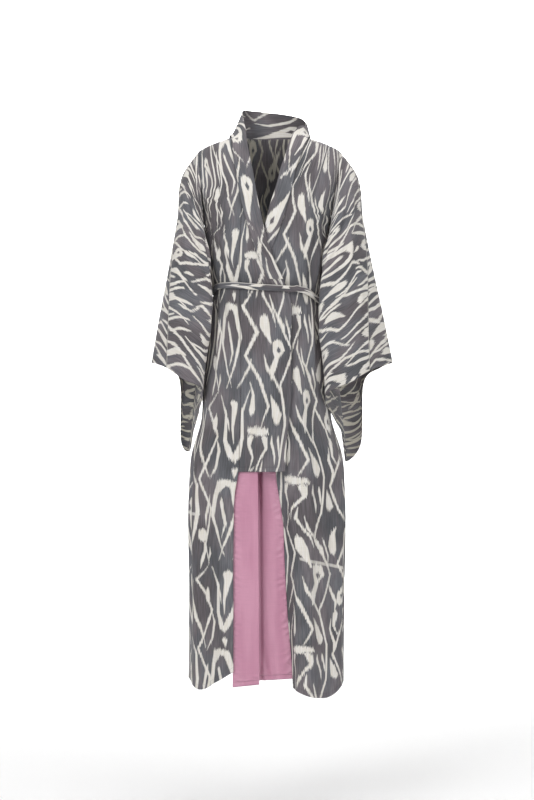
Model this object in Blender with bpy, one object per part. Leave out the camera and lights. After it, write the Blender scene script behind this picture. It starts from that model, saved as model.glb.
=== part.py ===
"""Kimono robe in its worn hollow form, each cut piece a thin closed wall. Metres, +Z up, +X wearer's left, +Y back."""
import math

import bmesh
import bpy
import numpy as np

# Named sizes
CLOTH = 0.0015
SEAM_GAP = 0.0003
FRONT_EDGE_SET = 0.00015
BACK_EDGE_SET = 0.0004
SIDE_TURN = 0.00001
SMOOTHING = 3
TUCK = 0.002
RING_POWER = 2.3
SHOULDER_ROUND = 0.10
NECK_ROUND = 0.5
LEFT_SHOULDER_SHIFT = 0.012
UNDERARM_Z = -0.253
ARMHOLE_TOP_Z = -0.037
LEFT_INSET = 0.0095
LEFT_INSET_START = 0.112
LEFT_INSET_FULL = 0.045
LAYER = 0.00225
LAYER_DROP = 0.004
RETURN_DEPTH = 0.020
RETURN_SHARE = 0.26
OVERLAP_TOP_Z = -0.172
OVERLAP_HEM_Z = -0.8167
LEFT_OVERLAP_TOP_Z = -0.200
LEFT_OVERLAP_HEM_Z = -0.806
SATIN_TOP_Z = -0.420
COLLAR_OUT = 0.0012
COLLAR_LIFT = 0.0025
COLLAR_BOW = 0.0022
COLLAR_END_Z = -0.358
COLLAR_NECK_Z = -0.030
COLLAR_STEPS = 12
BELT_WIDTH = 0.015
BELT_THICKNESS = 0.0040
BELT_OUT = 0.0026
BELT_MEAN_Z = -0.385
BELT_REACH = 0.07
BELT_STEPS = 56
KNOT_SIZE = (0.030, 0.014, 0.024)
KNOT_POWER = 0.6
KNOT_RINGS = 5
KNOT_SECTORS = 10
END_WIDTH = 0.015
END_THICKNESS = 0.0030
END_OUT_TOP = 0.012
END_OUT_LOW = 0.006
END_OVERLAP = 0.0003

# Colours and roughness of the plain cloths
IKAT = (0.34, 0.33, 0.33)
PINK = (0.56, 0.30, 0.40)
MATT = 0.85
SATIN = 0.45

# Body ring by height: half width, depth to the front, depth to the back
BODY_ROWS = np.array([
    # z,     half_width, front, back
    [0.02,   0.196, 0.070, 0.077],
    [-0.06,  0.190, 0.086, 0.095],
    [-0.12,  0.179, 0.099, 0.106],
    [-0.18,  0.166, 0.111, 0.113],
    [-0.253, 0.1525, 0.118, 0.112],
    [-0.31,  0.146, 0.119, 0.107],
    [-0.355, 0.139, 0.112, 0.101],
    [-0.385, 0.131, 0.103, 0.094],
    [-0.42,  0.135, 0.107, 0.100],
    [-0.50,  0.142, 0.114, 0.114],
    [-0.60,  0.147, 0.119, 0.124],
    [-0.70,  0.157, 0.122, 0.130],
    [-0.78,  0.180, 0.124, 0.133],
    [-0.86,  0.186, 0.126, 0.135],
    [-1.10,  0.186, 0.130, 0.140],
    [-1.36,  0.187, 0.134, 0.145],
])

# Shoulder line: height at a distance from the middle, and how far it is raised inside the back of the neck
SHOULDER_ROWS = np.array([
    # x,   z
    [0.000, 0.004],
    [0.060, 0.001],
    [0.085, -0.005],
    [0.100, -0.010],
    [0.130, -0.021],
    [0.150, -0.030],
    [0.165, -0.039],
    [0.188, -0.061],
])

NECK_RISE_ROWS = np.array([
    # x,    rise
    [0.000, 0.080],
    [0.045, 0.062],
    [0.070, 0.024],
    [0.080, 0.005],
    [0.086, 0.000],
    [0.400, 0.000],
])

# Armhole seam: distance from the middle by height
ARMHOLE_ROWS = np.array([
    # z,     x
    [0.00,   0.166],
    [-0.04,  0.165],
    [-0.10,  0.161],
    [-0.15,  0.1575],
    [-0.20,  0.1545],
    [-0.253, 0.1525],
])

# Front edges by height, as x
FREE_EDGE_RIGHT = np.array([
    # z,      x
    [0.000,  -0.0510],
    [-0.0352, -0.0465],
    [-0.0602, -0.0413],
    [-0.1052, -0.0323],
    [-0.1365, -0.0272],
    [-0.1777, -0.0198],
    [-0.2094, -0.0126],
    [-0.2349, -0.0071],
    [-0.2850, 0.0071],
    [-0.3372, 0.0285],
    [-0.3722, 0.0476],
    [-0.3960, 0.0560],
    [-0.5035, 0.0594],
    [-0.6460, 0.0593],
    [-0.7409, 0.0498],
    [-0.8167, 0.0450],
])
FREE_EDGE_LEFT = np.array([
    # z,      x
    [0.000,  0.0585],
    [-0.034,  0.0506],
    [-0.0592, 0.0432],
    [-0.0824, 0.0345],
    [-0.1063, 0.0287],
    [-0.1441, 0.0184],
    [-0.1706, 0.0093],
    [-0.2001, 0.0019],
    [-0.2298, -0.0052],
    [-0.278,  -0.0214],
    [-0.3255, -0.0404],
    [-0.373,  -0.057],
    [-0.409,  -0.0643],
    [-0.810,  -0.0643],
])
FRONT_EDGE_RIGHT = np.array([
    # z,     x
    [0.004, -0.0880],
    [-0.004, -0.0862],
    [-0.030, -0.0848],
    [-0.060, -0.0800],
    [-0.090, -0.0710],
    [-0.120, -0.0605],
    [-0.172, -0.0590],
    [-0.235, -0.0628],
    [-0.646, -0.0628],
    [-0.741, -0.0652],
    [-0.8167, -0.0673],
    [-0.864, -0.0756],
    [-0.966, -0.0788],
    [-1.160, -0.0795],
    [-1.300, -0.0795],
])
FRONT_EDGE_LEFT = np.array([
    # z,     x
    [0.004,  0.1040],
    [-0.006, 0.1020],
    [-0.030, 0.0935],
    [-0.060, 0.0815],
    [-0.120, 0.058],
    [-0.170, 0.038],
    [-0.230, 0.0205],
    [-0.780, 0.0205],
    [-0.817, 0.0210],
    [-0.950, 0.0390],
    [-1.010, 0.0410],
    [-1.160, 0.0490],
    [-1.300, 0.0600],
    [-1.340, 0.0610],
])
TURN_LEFT = np.array([
    # z,     x of the fold where the left front turns inward
    [0.004,  0.114],
    [-0.006, 0.113],
    [-0.120, 0.080],
    [-0.300, 0.066],
    [-0.700, 0.0600],
    [-0.817, 0.0560],
    [-0.950, 0.0620],
    [-1.010, 0.0690],
    [-1.160, 0.0690],
    [-1.340, 0.0710],
])
COLLAR_SEAM_RIGHT = np.array([
    # z,      x
    [0.000,  -0.0850],
    [-0.035, -0.0835],
    [-0.073, -0.0800],
    [-0.108, -0.0735],
    [-0.144, -0.0670],
    [-0.180, -0.0600],
    [-0.216, -0.0510],
    [-0.252, -0.0400],
    [-0.285, -0.0290],
    [-0.337, -0.0080],
    [-0.365,  0.0050],
])
COLLAR_SEAM_LEFT = np.array([
    # z,     x
    [0.000,  0.1017],
    [-0.044, 0.0878],
    [-0.083, 0.0720],
    [-0.112, 0.0657],
    [-0.140, 0.0597],
    [-0.181, 0.0477],
    [-0.2165, 0.0380],
    [-0.2525, 0.0240],
    [-0.2765, 0.0150],
    [-0.320, -0.0040],
    [-0.365, -0.0220],
])
# Collar round the neck: seam point then free edge point
NECK_ROWS = np.array([
    # x0,    y0,     z0,     x1,     y1,     z1
    [-0.0900, -0.006, -0.0010, -0.0520, -0.036, 0.010],
    [-0.0925, 0.026, -0.0050, -0.0580, 0.004, 0.040],
    [-0.0810, 0.065, -0.0045, -0.0600, 0.044, 0.066],
    [-0.0430, 0.0895, -0.0040, -0.0380, 0.084, 0.072],
    [0.0060,  0.0890, -0.0030, 0.0050,  0.095, 0.069],
    [0.0530,  0.0895, -0.0040, 0.0520,  0.087, 0.062],
    [0.0930,  0.065, -0.0050, 0.0880,  0.056, 0.047],
    [0.1050,  0.026, -0.0060, 0.0985,  0.020, 0.026],
    [0.1060, -0.006, -0.0030, 0.0800, -0.022, 0.020],
])
NECK_RIGHT = -0.0862
NECK_LEFT = 0.1020
NECK_SHARE = 5.0 / 22.0
NECK_TOP_Z = 0.001
# Belt height by angle from the front, in degrees
BELT_ROWS = np.array([
    # angle, z
    [-180, -0.400],
    [-120, -0.402],
    [-90,  -0.395],
    [-62,  -0.3735],
    [-40,  -0.3715],
    [0,    -0.378],
    [20,   -0.381],
    [40,   -0.384],
    [60,   -0.402],
    [90,   -0.412],
    [130,  -0.406],
    [180,  -0.400],
])
HEM_RIGHT = np.array([
    # x,     z
    [-0.200, -1.324],
    [-0.185, -1.327],
    [-0.170, -1.338],
    [-0.143, -1.334],
    [-0.127, -1.322],
    [-0.102, -1.305],
    [-0.0795, -1.291],
])
HEM_LEFT = np.array([
    # x,    z
    [0.060, -1.331],
    [0.078, -1.342],
    [0.111, -1.353],
    [0.145, -1.357],
    [0.167, -1.346],
    [0.185, -1.329],
    [0.200, -1.326],
])
BACK_HEM_SIDE_Z = -1.327
BACK_HEM_MIDDLE_Z = -1.298
# Heights of the rows of points on the body, closer together where the belt draws it in
LEVELS = np.array([
    -0.010, -0.018, -0.031, -0.050, -0.078, -0.120, -0.172, -0.215, -0.253, -0.295, -0.330, -0.350,
    -0.365, -0.378, -0.391, -0.404, -0.420, -0.442, -0.480, -0.540, -0.600, -0.665, -0.730,
    -0.780, -0.8167, -0.860, -0.950, -1.050, -1.150, -1.250, -1.330])
TOP_REACH = -0.20
SATIN_RIGHT_HEM_Z = -1.3284
SATIN_LEFT_HEM_Z = -1.3164
SATIN_RIGHT_EDGE = np.array([
    # z,     x
    [-0.400, -0.0300],
    [-0.600, -0.0260],
    [-0.817, -0.0223],
    [-1.100, -0.0198],
    [-1.340, -0.0183],
])
SATIN_LEFT_EDGE = np.array([
    # z,     x
    [-0.400, -0.055],
    [-0.800, -0.052],
    [-1.340, -0.050],
])
SATIN_RIGHT_SLANT = 0.0074
SATIN_LEFT_SLANT = 0.005
HEM_REACH = -1.10

# Large soft folds of the body: angle and spread in degrees, depth, top and bottom, lean in degrees a metre
BODY_FOLDS = [
    # angle, spread, depth,  top,   bottom, lean
    (-62, 9, 0.0070, -0.46, -1.50, -3),
    (-45, 7, -0.0060, -0.60, -1.50, 2),
    (-31, 6, 0.0050, -0.70, -1.50, 3),
    (29, 7, 0.0060, -0.50, -1.50, 3),
    (45, 7, -0.0060, -0.48, -1.50, -2),
    (63, 8, 0.0070, -0.60, -1.50, 3),
    (-104, 9, 0.0090, -0.45, -1.50, 2),
    (-124, 8, -0.0075, -0.52, -1.50, -2),
    (-146, 9, 0.0100, -0.46, -1.50, 3),
    (-170, 8, -0.0085, -0.58, -1.50, -2),
    (164, 9, 0.0090, -0.50, -1.50, 3),
    (140, 8, -0.0080, -0.45, -1.50, -2),
    (117, 9, 0.0085, -0.56, -1.50, 2),
]

# Sleeve rings from the armhole to the cuff, for the wearer's right, with x as a distance from the middle
RING_STOPS = np.array([0.0, 0.12, 0.24, 0.37, 0.50, 0.63, 0.72, 0.82, 0.91])
SLEEVE_STOPS = np.array([0.0, 0.10, 0.30, 0.55, 0.80, 1.0])
SLEEVE_ROWS = np.array([
    # over,                 outer front,            front,                  inner front,            inner,
    # under seam,           tail back,              back,                   outer back
    [[0.165, 0.000, -0.040], [0.161, -0.048, -0.095], [0.1575, -0.052, -0.145], [0.1545, -0.038, -0.200],
     [0.153, -0.018, -0.235], [0.1525, 0.000, -0.253], [0.153, 0.026, -0.225], [0.1545, 0.044, -0.170],
     [0.161, 0.046, -0.095]],
    [[0.203, 0.000, -0.092], [0.190, -0.054, -0.125], [0.174, -0.070, -0.175], [0.1530, -0.066, -0.222],
     [0.154, -0.022, -0.262], [0.157, 0.014, -0.283], [0.167, 0.044, -0.250], [0.179, 0.062, -0.195],
     [0.194, 0.054, -0.125]],
    [[0.219, -0.002, -0.205], [0.206, -0.062, -0.215], [0.180, -0.085, -0.265], [0.1375, -0.082, -0.312],
     [0.153, -0.010, -0.350], [0.163, 0.048, -0.380], [0.177, 0.080, -0.342], [0.193, 0.086, -0.275],
     [0.211, 0.058, -0.218]],
    [[0.240, -0.010, -0.330], [0.224, -0.074, -0.340], [0.187, -0.097, -0.385], [0.132, -0.091, -0.422],
     [0.152, 0.012, -0.480], [0.170, 0.092, -0.530], [0.190, 0.114, -0.480], [0.206, 0.104, -0.395],
     [0.229, 0.058, -0.344]],
    [[0.262, -0.016, -0.450], [0.240, -0.080, -0.460], [0.193, -0.101, -0.495], [0.1465, -0.092, -0.530],
     [0.166, 0.028, -0.600], [0.184, 0.128, -0.665], [0.204, 0.134, -0.612], [0.214, 0.114, -0.505],
     [0.240, 0.058, -0.462]],
    [[0.2805, -0.020, -0.556], [0.2455, -0.075, -0.567], [0.200, -0.095, -0.597], [0.154, -0.085, -0.627],
     [0.180, 0.046, -0.722], [0.198, 0.150, -0.776], [0.217, 0.147, -0.748], [0.219, 0.118, -0.598],
     [0.250, 0.060, -0.563]],
])
# How the left cuff differs at each place round it, growing from nothing at the armhole
LEFT_CUFF = np.array([
    # outward, up
    [0.0255, 0.000],
    [0.006, -0.006],
    [0.005, -0.004],
    [-0.015, -0.014],
    [0.010, -0.016],
    [0.003, -0.025],
    [0.020, -0.007],
    [0.024, -0.004],
    [0.029, -0.004],
])
OVER_SEAM = 0.045
UNDER_SEAM = 0.63
OVER_GAP = 0.001
UNDER_GAP = 0.002


def hermite(stops, values, at):
    """Smooth curve through rows of values at rising stops, for any shape of `at`."""
    stops = np.asarray(stops, float)
    values = np.asarray(values, float)
    slopes = np.gradient(values, stops, axis=0)
    at = np.asarray(at, float)
    i = np.clip(np.searchsorted(stops, at) - 1, 0, len(stops) - 2)
    width = stops[i + 1] - stops[i]
    t = (at - stops[i]) / width
    extra = (1,) * (values.ndim - 1)
    t = t.reshape(t.shape + extra)
    width = width.reshape(width.shape + extra)
    inside = np.clip(t, 0.0, 1.0)
    a, b, ma, mb = values[i], values[i + 1], slopes[i] * width, slopes[i + 1] * width
    t2, t3 = inside ** 2, inside ** 3
    curve = (2 * t3 - 3 * t2 + 1) * a + (t3 - 2 * t2 + inside) * ma + (3 * t2 - 2 * t3) * b + (t3 - t2) * mb
    return curve + np.where(t > 1.0, (t - 1.0) * mb, 0.0) + np.where(t < 0.0, t * ma, 0.0)


def column(rows, at, index=1):
    """A named table's column at given heights, where the first column falls or rises."""
    if rows[0, 0] > rows[-1, 0]:
        rows = rows[::-1]
    return hermite(rows[:, 0], rows[:, index], at)


def smooth(low, high, at):
    """Soft step from 0 at low to 1 at high."""
    t = np.clip((np.asarray(at, float) - low) / (high - low), 0.0, 1.0)
    return t * t * (3.0 - 2.0 * t)


def shoulder_z(x):
    """Height of the shoulder line at x, a little further out on the left."""
    reach = np.abs(x) - LEFT_SHOULDER_SHIFT * (np.asarray(x) > 0.0)
    return column(SHOULDER_ROWS, reach)


def armhole_x(side, z):
    """Where the armhole seam runs, as x, for side -1 right or +1 left."""
    x = column(ARMHOLE_ROWS, z)
    if side > 0:
        x = x + LEFT_SHOULDER_SHIFT * smooth(UNDERARM_Z, ARMHOLE_TOP_Z, z)
    return side * x


def belt_z(angle):
    """Height of the belt's middle at an angle from the front."""
    return column(BELT_ROWS, np.degrees(angle))


def belted(angle, z):
    """Height to read the body's table at, shifted near the belt so that the waist follows it."""
    near = np.exp(-((z - BELT_MEAN_Z) / BELT_REACH) ** 2)
    return z - (belt_z(angle) - BELT_MEAN_Z) * near


def fold_depth(angle, z):
    """How far the large folds push the cloth outward."""
    degrees = np.degrees(angle)
    total = np.zeros(np.broadcast(angle, z).shape)
    for at, spread, depth, top, bottom, lean in BODY_FOLDS:
        away = degrees - (at + lean * (top - z))
        away = (away + 180.0) % 360.0 - 180.0
        rise = smooth(top, top - 0.22, z)
        total = total + depth * rise * np.exp(-(away / spread) ** 2)
    return total


def body_point(angle, z, inset=0.0):
    """Point of the body's outer face at an angle from the front and a height, moved in by inset."""
    angle = np.asarray(angle, float)
    z = np.asarray(z, float)
    out = fold_depth(angle, z) - inset
    height = belted(angle, z)
    half = column(BODY_ROWS, height, 1) + out
    front = column(BODY_ROWS, height, 2) + out
    back = column(BODY_ROWS, height, 3) + out
    s, c = np.sin(angle), np.cos(angle)
    s = np.sign(s) * np.abs(s) ** (2.0 / RING_POWER)
    c = np.sign(c) * np.abs(c) ** (2.0 / RING_POWER)
    x = half * s
    y = -np.where(c > 0.0, front, back) * c
    reach = np.abs(x) - LEFT_SHOULDER_SHIFT * (x > 0.0)
    rise = np.where(c > 0.0, 0.0, np.interp(reach, NECK_RISE_ROWS[:, 0], NECK_RISE_ROWS[:, 1]))
    roundness = SHOULDER_ROUND * (NECK_ROUND + (1.0 - NECK_ROUND) * smooth(0.085, 0.15, reach))
    t = np.clip((shoulder_z(x) + rise - z) / roundness, 0.0, 1.0)
    y = y * np.sqrt(np.maximum(1.0 - (1.0 - t) ** 2, 0.0)) - np.where(c > 0.0, FRONT_EDGE_SET, -BACK_EDGE_SET)
    return np.stack([x, y, z + 0.0 * x], -1)


def angle_at(x, z, inset=0.0, back=False):
    """Angle from the front at which the body's face has a given x."""
    x = np.asarray(x, float)
    angle = np.sign(x) * 0.4
    for _ in range(10):
        out = fold_depth(angle, z) - inset
        half = column(BODY_ROWS, belted(angle, z), 1) + out
        share = np.clip(np.abs(x) / half, 0.0, 1.0) ** (RING_POWER / 2.0)
        angle = np.sign(x) * np.arcsin(share)
        if back:
            angle = np.sign(x) * math.pi - angle
    return angle


def side_angle(side, z, back=False):
    """Angle of a panel's side edge: the armhole above the underarm, the side seam below."""
    hole = angle_at(armhole_x(side, z), z, back=back)
    seam = math.pi / 2.0 + (SIDE_TURN if back else -SIDE_TURN)
    return np.where(z > UNDERARM_Z, hole, side * seam)


def left_inset(x):
    """How deep the left side's layers lie, growing toward the overlap."""
    return LEFT_INSET * smooth(LEFT_INSET_START, LEFT_INSET_FULL, x)


def return_depth(z):
    """How deep the left front's edge turns in, from the short hem down."""
    return RETURN_DEPTH * smooth(-0.72, -0.86, z)


def level(v, top, hem):
    """Height of a row at v between a panel's own top and hem, the same rows for all panels in between."""
    z = np.interp(v, np.linspace(0.0, 1.0, len(LEVELS)), LEVELS)
    z = z + (top - LEVELS[0]) * np.clip((z - TOP_REACH) / (LEVELS[0] - TOP_REACH), 0.0, 1.0)
    return z + (hem - LEVELS[-1]) * np.clip((z - HEM_REACH) / (LEVELS[-1] - HEM_REACH), 0.0, 1.0)


def rows_between(top, hem):
    """The body's own row heights between a strip's top and hem, with both ends."""
    inner = LEVELS[(LEVELS < top - 0.008) & (LEVELS > hem + 0.008)]
    return np.concatenate([[top], inner, [hem]])


class Wall:
    """One cloth piece as a closed wall between an outer grid and the same grid moved in."""

    def __init__(self, name, surface, across, down, thick=CLOTH, flip=False, flat_top_axis=None):
        self.name = name
        self.surface = surface
        self.across = across
        self.down = down
        self.thick = thick
        self.flip = flip
        self.flat_top_axis = flat_top_axis

    def grids(self):
        """Outer and inner point grids."""
        u = np.linspace(0.0, 1.0, self.across + 1)
        v = np.linspace(0.0, 1.0, self.down + 1)
        u, v = np.meshgrid(u, v, indexing="ij")
        step = 1e-3
        outer = self.surface(u, v)
        du = self.surface(u + step, v) - self.surface(u - step, v)
        dv = self.surface(u, np.minimum(v + step, 1.0)) - self.surface(u, np.maximum(v - step, 0.0))
        normal = np.cross(du, dv)
        normal /= np.maximum(np.linalg.norm(normal, axis=-1, keepdims=True), 1e-12)
        for _ in range(SMOOTHING):
            near = normal[:-2, 1:-1] + normal[2:, 1:-1] + normal[1:-1, :-2] + normal[1:-1, 2:]
            normal[1:-1, 1:-1] += near / 4.0
            normal /= np.linalg.norm(normal, axis=-1, keepdims=True)
        if self.flip:
            normal = -normal
        if self.flat_top_axis is not None:
            flat = normal[:, 0].copy()
            flat[:, self.flat_top_axis] = 0.0
            size = np.linalg.norm(flat, axis=-1, keepdims=True)
            normal[:, 0] = np.where(size > 0.3, flat / np.maximum(size, 1e-6), normal[:, 0])
        return outer, outer - normal * self.thick

    def build(self, material):
        """The piece as an object of its own."""
        outer, inner = self.grids()
        nu, nv = outer.shape[:2]
        points = np.concatenate([outer.reshape(-1, 3), inner.reshape(-1, 3)])
        half = nu * nv

        def at(i, j, layer=0):
            return layer * half + i * nv + j

        faces = []
        for i in range(nu - 1):
            for j in range(nv - 1):
                a, b, c, d = at(i, j), at(i + 1, j), at(i + 1, j + 1), at(i, j + 1)
                if np.linalg.norm(points[a] - points[c]) > np.linalg.norm(points[b] - points[d]):
                    a, b, c, d = b, c, d, a
                faces += [(a, b, c), (a, c, d)]
                faces += [(a + half, c + half, b + half), (a + half, d + half, c + half)]
        for i in range(nu - 1):
            a, b = at(i, 0), at(i + 1, 0)
            faces += [(a, a + half, b + half), (a, b + half, b)]
            a, b = at(i, nv - 1), at(i + 1, nv - 1)
            faces += [(a, b + half, a + half), (a, b, b + half)]
        for j in range(nv - 1):
            a, b = at(0, j), at(0, j + 1)
            faces += [(a, b + half, a + half), (a, b, b + half)]
            a, b = at(nu - 1, j), at(nu - 1, j + 1)
            faces += [(a, a + half, b + half), (a, b + half, b)]
        mesh = bpy.data.meshes.new(self.name)
        mesh.from_pydata([tuple(p) for p in points], [], faces)
        bm = bmesh.new()
        bm.from_mesh(mesh)
        bmesh.ops.recalc_face_normals(bm, faces=bm.faces)
        bm.to_mesh(mesh)
        bm.free()
        mesh.materials.append(material)
        item = bpy.data.objects.new(self.name, mesh)
        bpy.context.scene.collection.objects.link(item)
        return item


def front_surface(side):
    """A front from its side edge (u = 0) to its front edge (u = 1), shoulder line (v = 0) to hem (v = 1)."""
    edge_rows = FRONT_EDGE_RIGHT if side < 0 else FRONT_EDGE_LEFT
    hem_rows = HEM_RIGHT if side < 0 else HEM_LEFT
    def place(u, z):
        start = side_angle(side, z)
        if side < 0:
            end = angle_at(column(edge_rows, z) - SEAM_GAP, z)
            angle = start + (end - start) * u
            return body_point(angle, z)
        fold = angle_at(column(TURN_LEFT, z), z)
        end = angle_at(column(edge_rows, z) + SEAM_GAP, z)
        first = np.clip(u / (1.0 - RETURN_SHARE), None, 1.0)
        rest = np.clip((u - 1.0) / RETURN_SHARE + 1.0, 0.0, None)
        angle = start + (fold - start) * first + (end - fold) * rest
        x = body_point(angle, z)[..., 0]
        depth = left_inset(x) + return_depth(z) * smooth(0.0, 1.0, rest)
        angle = np.where(x < LEFT_INSET_START, angle_at(x, z, depth), angle)
        return body_point(angle, z, depth)

    def surface(u, v):
        top = np.full(np.shape(u), -0.02)
        hem = np.full(np.shape(u), -1.33)
        for _ in range(6):
            top = shoulder_z(place(u, top)[..., 0])
            hem = column(hem_rows, place(u, hem)[..., 0])
        return place(u, level(v, top, hem))

    return surface


def back_surface(u, v):
    """The back from the right side edge (u = 0) to the left one (u = 1)."""

    def place(z):
        right = 2.0 * math.pi + side_angle(-1, z, back=True)
        left = side_angle(1, z, back=True)
        neck_right = 2.0 * math.pi + angle_at(np.full(z.shape, NECK_RIGHT), z, back=True)
        neck_left = angle_at(np.full(z.shape, NECK_LEFT), z, back=True)
        even = right + (left - right) * u
        outer = np.clip(u / NECK_SHARE, 0.0, 1.0) * (neck_right - right)
        middle = np.clip((u - NECK_SHARE) / (1.0 - 2.0 * NECK_SHARE), 0.0, 1.0) * (neck_left - neck_right)
        last = np.clip((u - 1.0 + NECK_SHARE) / NECK_SHARE, 0.0, 1.0) * (left - neck_left)
        pinned = right + outer + middle + last
        angle = even + (pinned - even) * smooth(-0.22, -0.02, z)
        return body_point((angle + math.pi) % (2.0 * math.pi) - math.pi, z)

    top = np.full(np.shape(u), -0.02)
    for _ in range(8):
        x = place(top)[..., 0]
        neck = NECK_TOP_Z + 0.0 * x
        inside = (x > NECK_RIGHT + 1e-4) & (x < NECK_LEFT - 1e-4)
        top = np.where(inside, neck, shoulder_z(x))
    hem = BACK_HEM_SIDE_Z + (BACK_HEM_MIDDLE_Z - BACK_HEM_SIDE_Z) * np.sin(math.pi * u) ** 2
    return place(level(v, top, hem))


def strip_surface(left_rows, right_rows, rows, slant, inset):
    """A strip between two edges given by x at each height, its hem rising by slant from left to right."""

    def surface(u, v):
        z = np.interp(v, np.linspace(0.0, 1.0, len(rows)), rows) + slant * u * v
        x = column(left_rows, z) + (column(right_rows, z) - column(left_rows, z)) * u
        depth = inset(x, z)
        return body_point(angle_at(x, z, depth), z, depth)

    return surface


def shifted(rows, amount):
    """An edge table moved sideways."""
    out = rows.copy()
    out[:, 1] += amount
    return out


def collar_surface(u, v):
    """The collar from its end on the right front (u = 0) round the neck to the left front (u = 1)."""
    rows = []
    steps = np.linspace(COLLAR_END_Z, COLLAR_NECK_Z, COLLAR_STEPS)
    for side, seam, edge in ((-1, COLLAR_SEAM_RIGHT, FREE_EDGE_RIGHT), (1, COLLAR_SEAM_LEFT, FREE_EDGE_LEFT)):
        pairs = []
        for z in steps:
            pair = []
            for table in (seam, edge):
                x = float(column(table, z))
                depth = float(left_inset(x)) if side > 0 else 0.0
                depth -= CLOTH + COLLAR_OUT + COLLAR_LIFT * float(smooth(-0.12, -0.04, z))
                angle = angle_at(np.array(x), np.array(z), depth)
                pair.append(body_point(angle, np.array(z), depth))
            pairs.append(np.concatenate(pair))
        rows.append(np.array(pairs))
    path = np.concatenate([rows[0], NECK_ROWS, rows[1][::-1]])
    middle = (path[:, :3] + path[:, 3:]) / 2.0
    length = np.concatenate([[0.0], np.cumsum(np.linalg.norm(np.diff(middle, axis=0), axis=1))])
    at = hermite(length / length[-1], path, np.asarray(u))
    seam, edge = at[..., :3], at[..., 3:]
    v = np.asarray(v)[..., None]
    flat = seam + (edge - seam) * v
    bow = 4.0 * v * (1.0 - v) * COLLAR_BOW
    outward = flat * np.array([1.0, 1.0, 0.0])
    outward /= np.maximum(np.linalg.norm(outward, axis=-1, keepdims=True), 1e-9)
    return flat + outward * bow


def sleeve_ring(side, w, t):
    """Point of a sleeve at w round the ring and t from the armhole to the cuff."""
    rows = SLEEVE_ROWS.copy()
    if side > 0:
        share = SLEEVE_STOPS[:, None]
        rows[..., 0] += LEFT_SHOULDER_SHIFT * smooth(UNDERARM_Z, ARMHOLE_TOP_Z, rows[0, :, 2])[None] * (1.0 - share)
        rows[..., 0] += share * LEFT_CUFF[:, 0]
        rows[..., 2] += share * LEFT_CUFF[:, 1]
    w = np.asarray(w, float) % 1.0
    wide = np.concatenate([RING_STOPS[-3:] - 1.0, RING_STOPS, RING_STOPS[:3] + 1.0])
    around = np.concatenate([rows[:, -3:], rows, rows[:, :3]], axis=1)
    columns = hermite(SLEEVE_STOPS, around, np.asarray(t, float))
    flat_w = w.reshape(-1)
    flat_c = columns.reshape(-1, len(wide), 3)
    out = np.empty((flat_w.size, 3))
    for k in range(flat_w.size):
        out[k] = hermite(wide, flat_c[k], flat_w[k])
    out = out.reshape(w.shape + (3,))
    hole = armhole_point(side, w)
    start = hermite_ring(side, w, rows)
    blend = (1.0 - smooth(0.0, 0.14, t))[..., None]
    placed = out.copy()
    placed[..., 0] *= side
    start[..., 0] *= side
    return placed + (hole - start) * blend


def hermite_ring(side, w, rows):
    """The table's own first ring, before it is fitted to the armhole."""
    wide = np.concatenate([RING_STOPS[-3:] - 1.0, RING_STOPS, RING_STOPS[:3] + 1.0])
    first = np.concatenate([rows[0, -3:], rows[0], rows[0, :3]], axis=0)
    return hermite(wide, first, w)


def armhole_point(side, w):
    """The armhole seam's point for a place round the sleeve's first ring."""
    top = float(shoulder_z(armhole_x(side, ARMHOLE_TOP_Z)))
    share = np.where(np.asarray(w) < UNDER_SEAM, np.asarray(w) / UNDER_SEAM, (1.0 - np.asarray(w)) / (1.0 - UNDER_SEAM))
    z = top - (top - UNDERARM_Z) * (1.0 - np.cos(math.pi * share)) / 2.0
    x = armhole_x(side, z)
    front = body_point(angle_at(x, z), z)
    back = body_point(angle_at(x, z, back=True), z)
    at_front = (np.asarray(w) < UNDER_SEAM)[..., None]
    point = np.where(at_front, front, back)
    point[..., 0] += side * (SEAM_GAP + 0.0004)
    return point


def sleeve_surface(side, first, last):
    """Part of a sleeve from one seam (u = 0) to the other (u = 1)."""

    def surface(u, v):
        return sleeve_ring(side, first + (last - first) * u, v)

    return surface


def cloth(name, colour, roughness):
    """A Principled material of one piece."""
    material = bpy.data.materials.new(name)
    material.use_nodes = True
    shader = material.node_tree.nodes["Principled BSDF"]
    shader.inputs["Base Color"].default_value = (*colour, 1.0)
    shader.inputs["Roughness"].default_value = roughness
    return material


def band_loop(name, material):
    """The belt as one closed band lying on the waist all round."""
    profile = [(-0.5, -0.5), (0.5, -0.5), (0.5, 0.5), (-0.5, 0.5)]
    points = []
    for i in range(BELT_STEPS):
        angle = np.array(-math.pi + 2.0 * math.pi * i / BELT_STEPS)
        z = belt_z(angle)
        base = body_point(angle, z)
        ahead = body_point(angle + 0.01, belt_z(angle + 0.01)) - body_point(angle - 0.01, belt_z(angle - 0.01))
        ahead /= np.linalg.norm(ahead)
        up = np.array([0.0, 0.0, 1.0])
        out = np.cross(ahead, up)
        out /= np.linalg.norm(out)
        if np.dot(out[:2], base[:2]) < 0.0:
            out = -out
        high = np.cross(out, ahead)
        high *= np.sign(high[2])
        middle = base + out * (BELT_OUT + BELT_THICKNESS / 2.0)
        for depth, height in profile:
            points.append(middle + out * depth * BELT_THICKNESS + high * height * BELT_WIDTH)
    count = len(profile)
    faces = []
    for i in range(BELT_STEPS):
        ahead = (i + 1) % BELT_STEPS
        for k in range(count):
            a, b = i * count + k, i * count + (k + 1) % count
            c, d = ahead * count + (k + 1) % count, ahead * count + k
            faces += [(a, b, c), (a, c, d)]
    return solid(name, points, faces, material)


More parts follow.
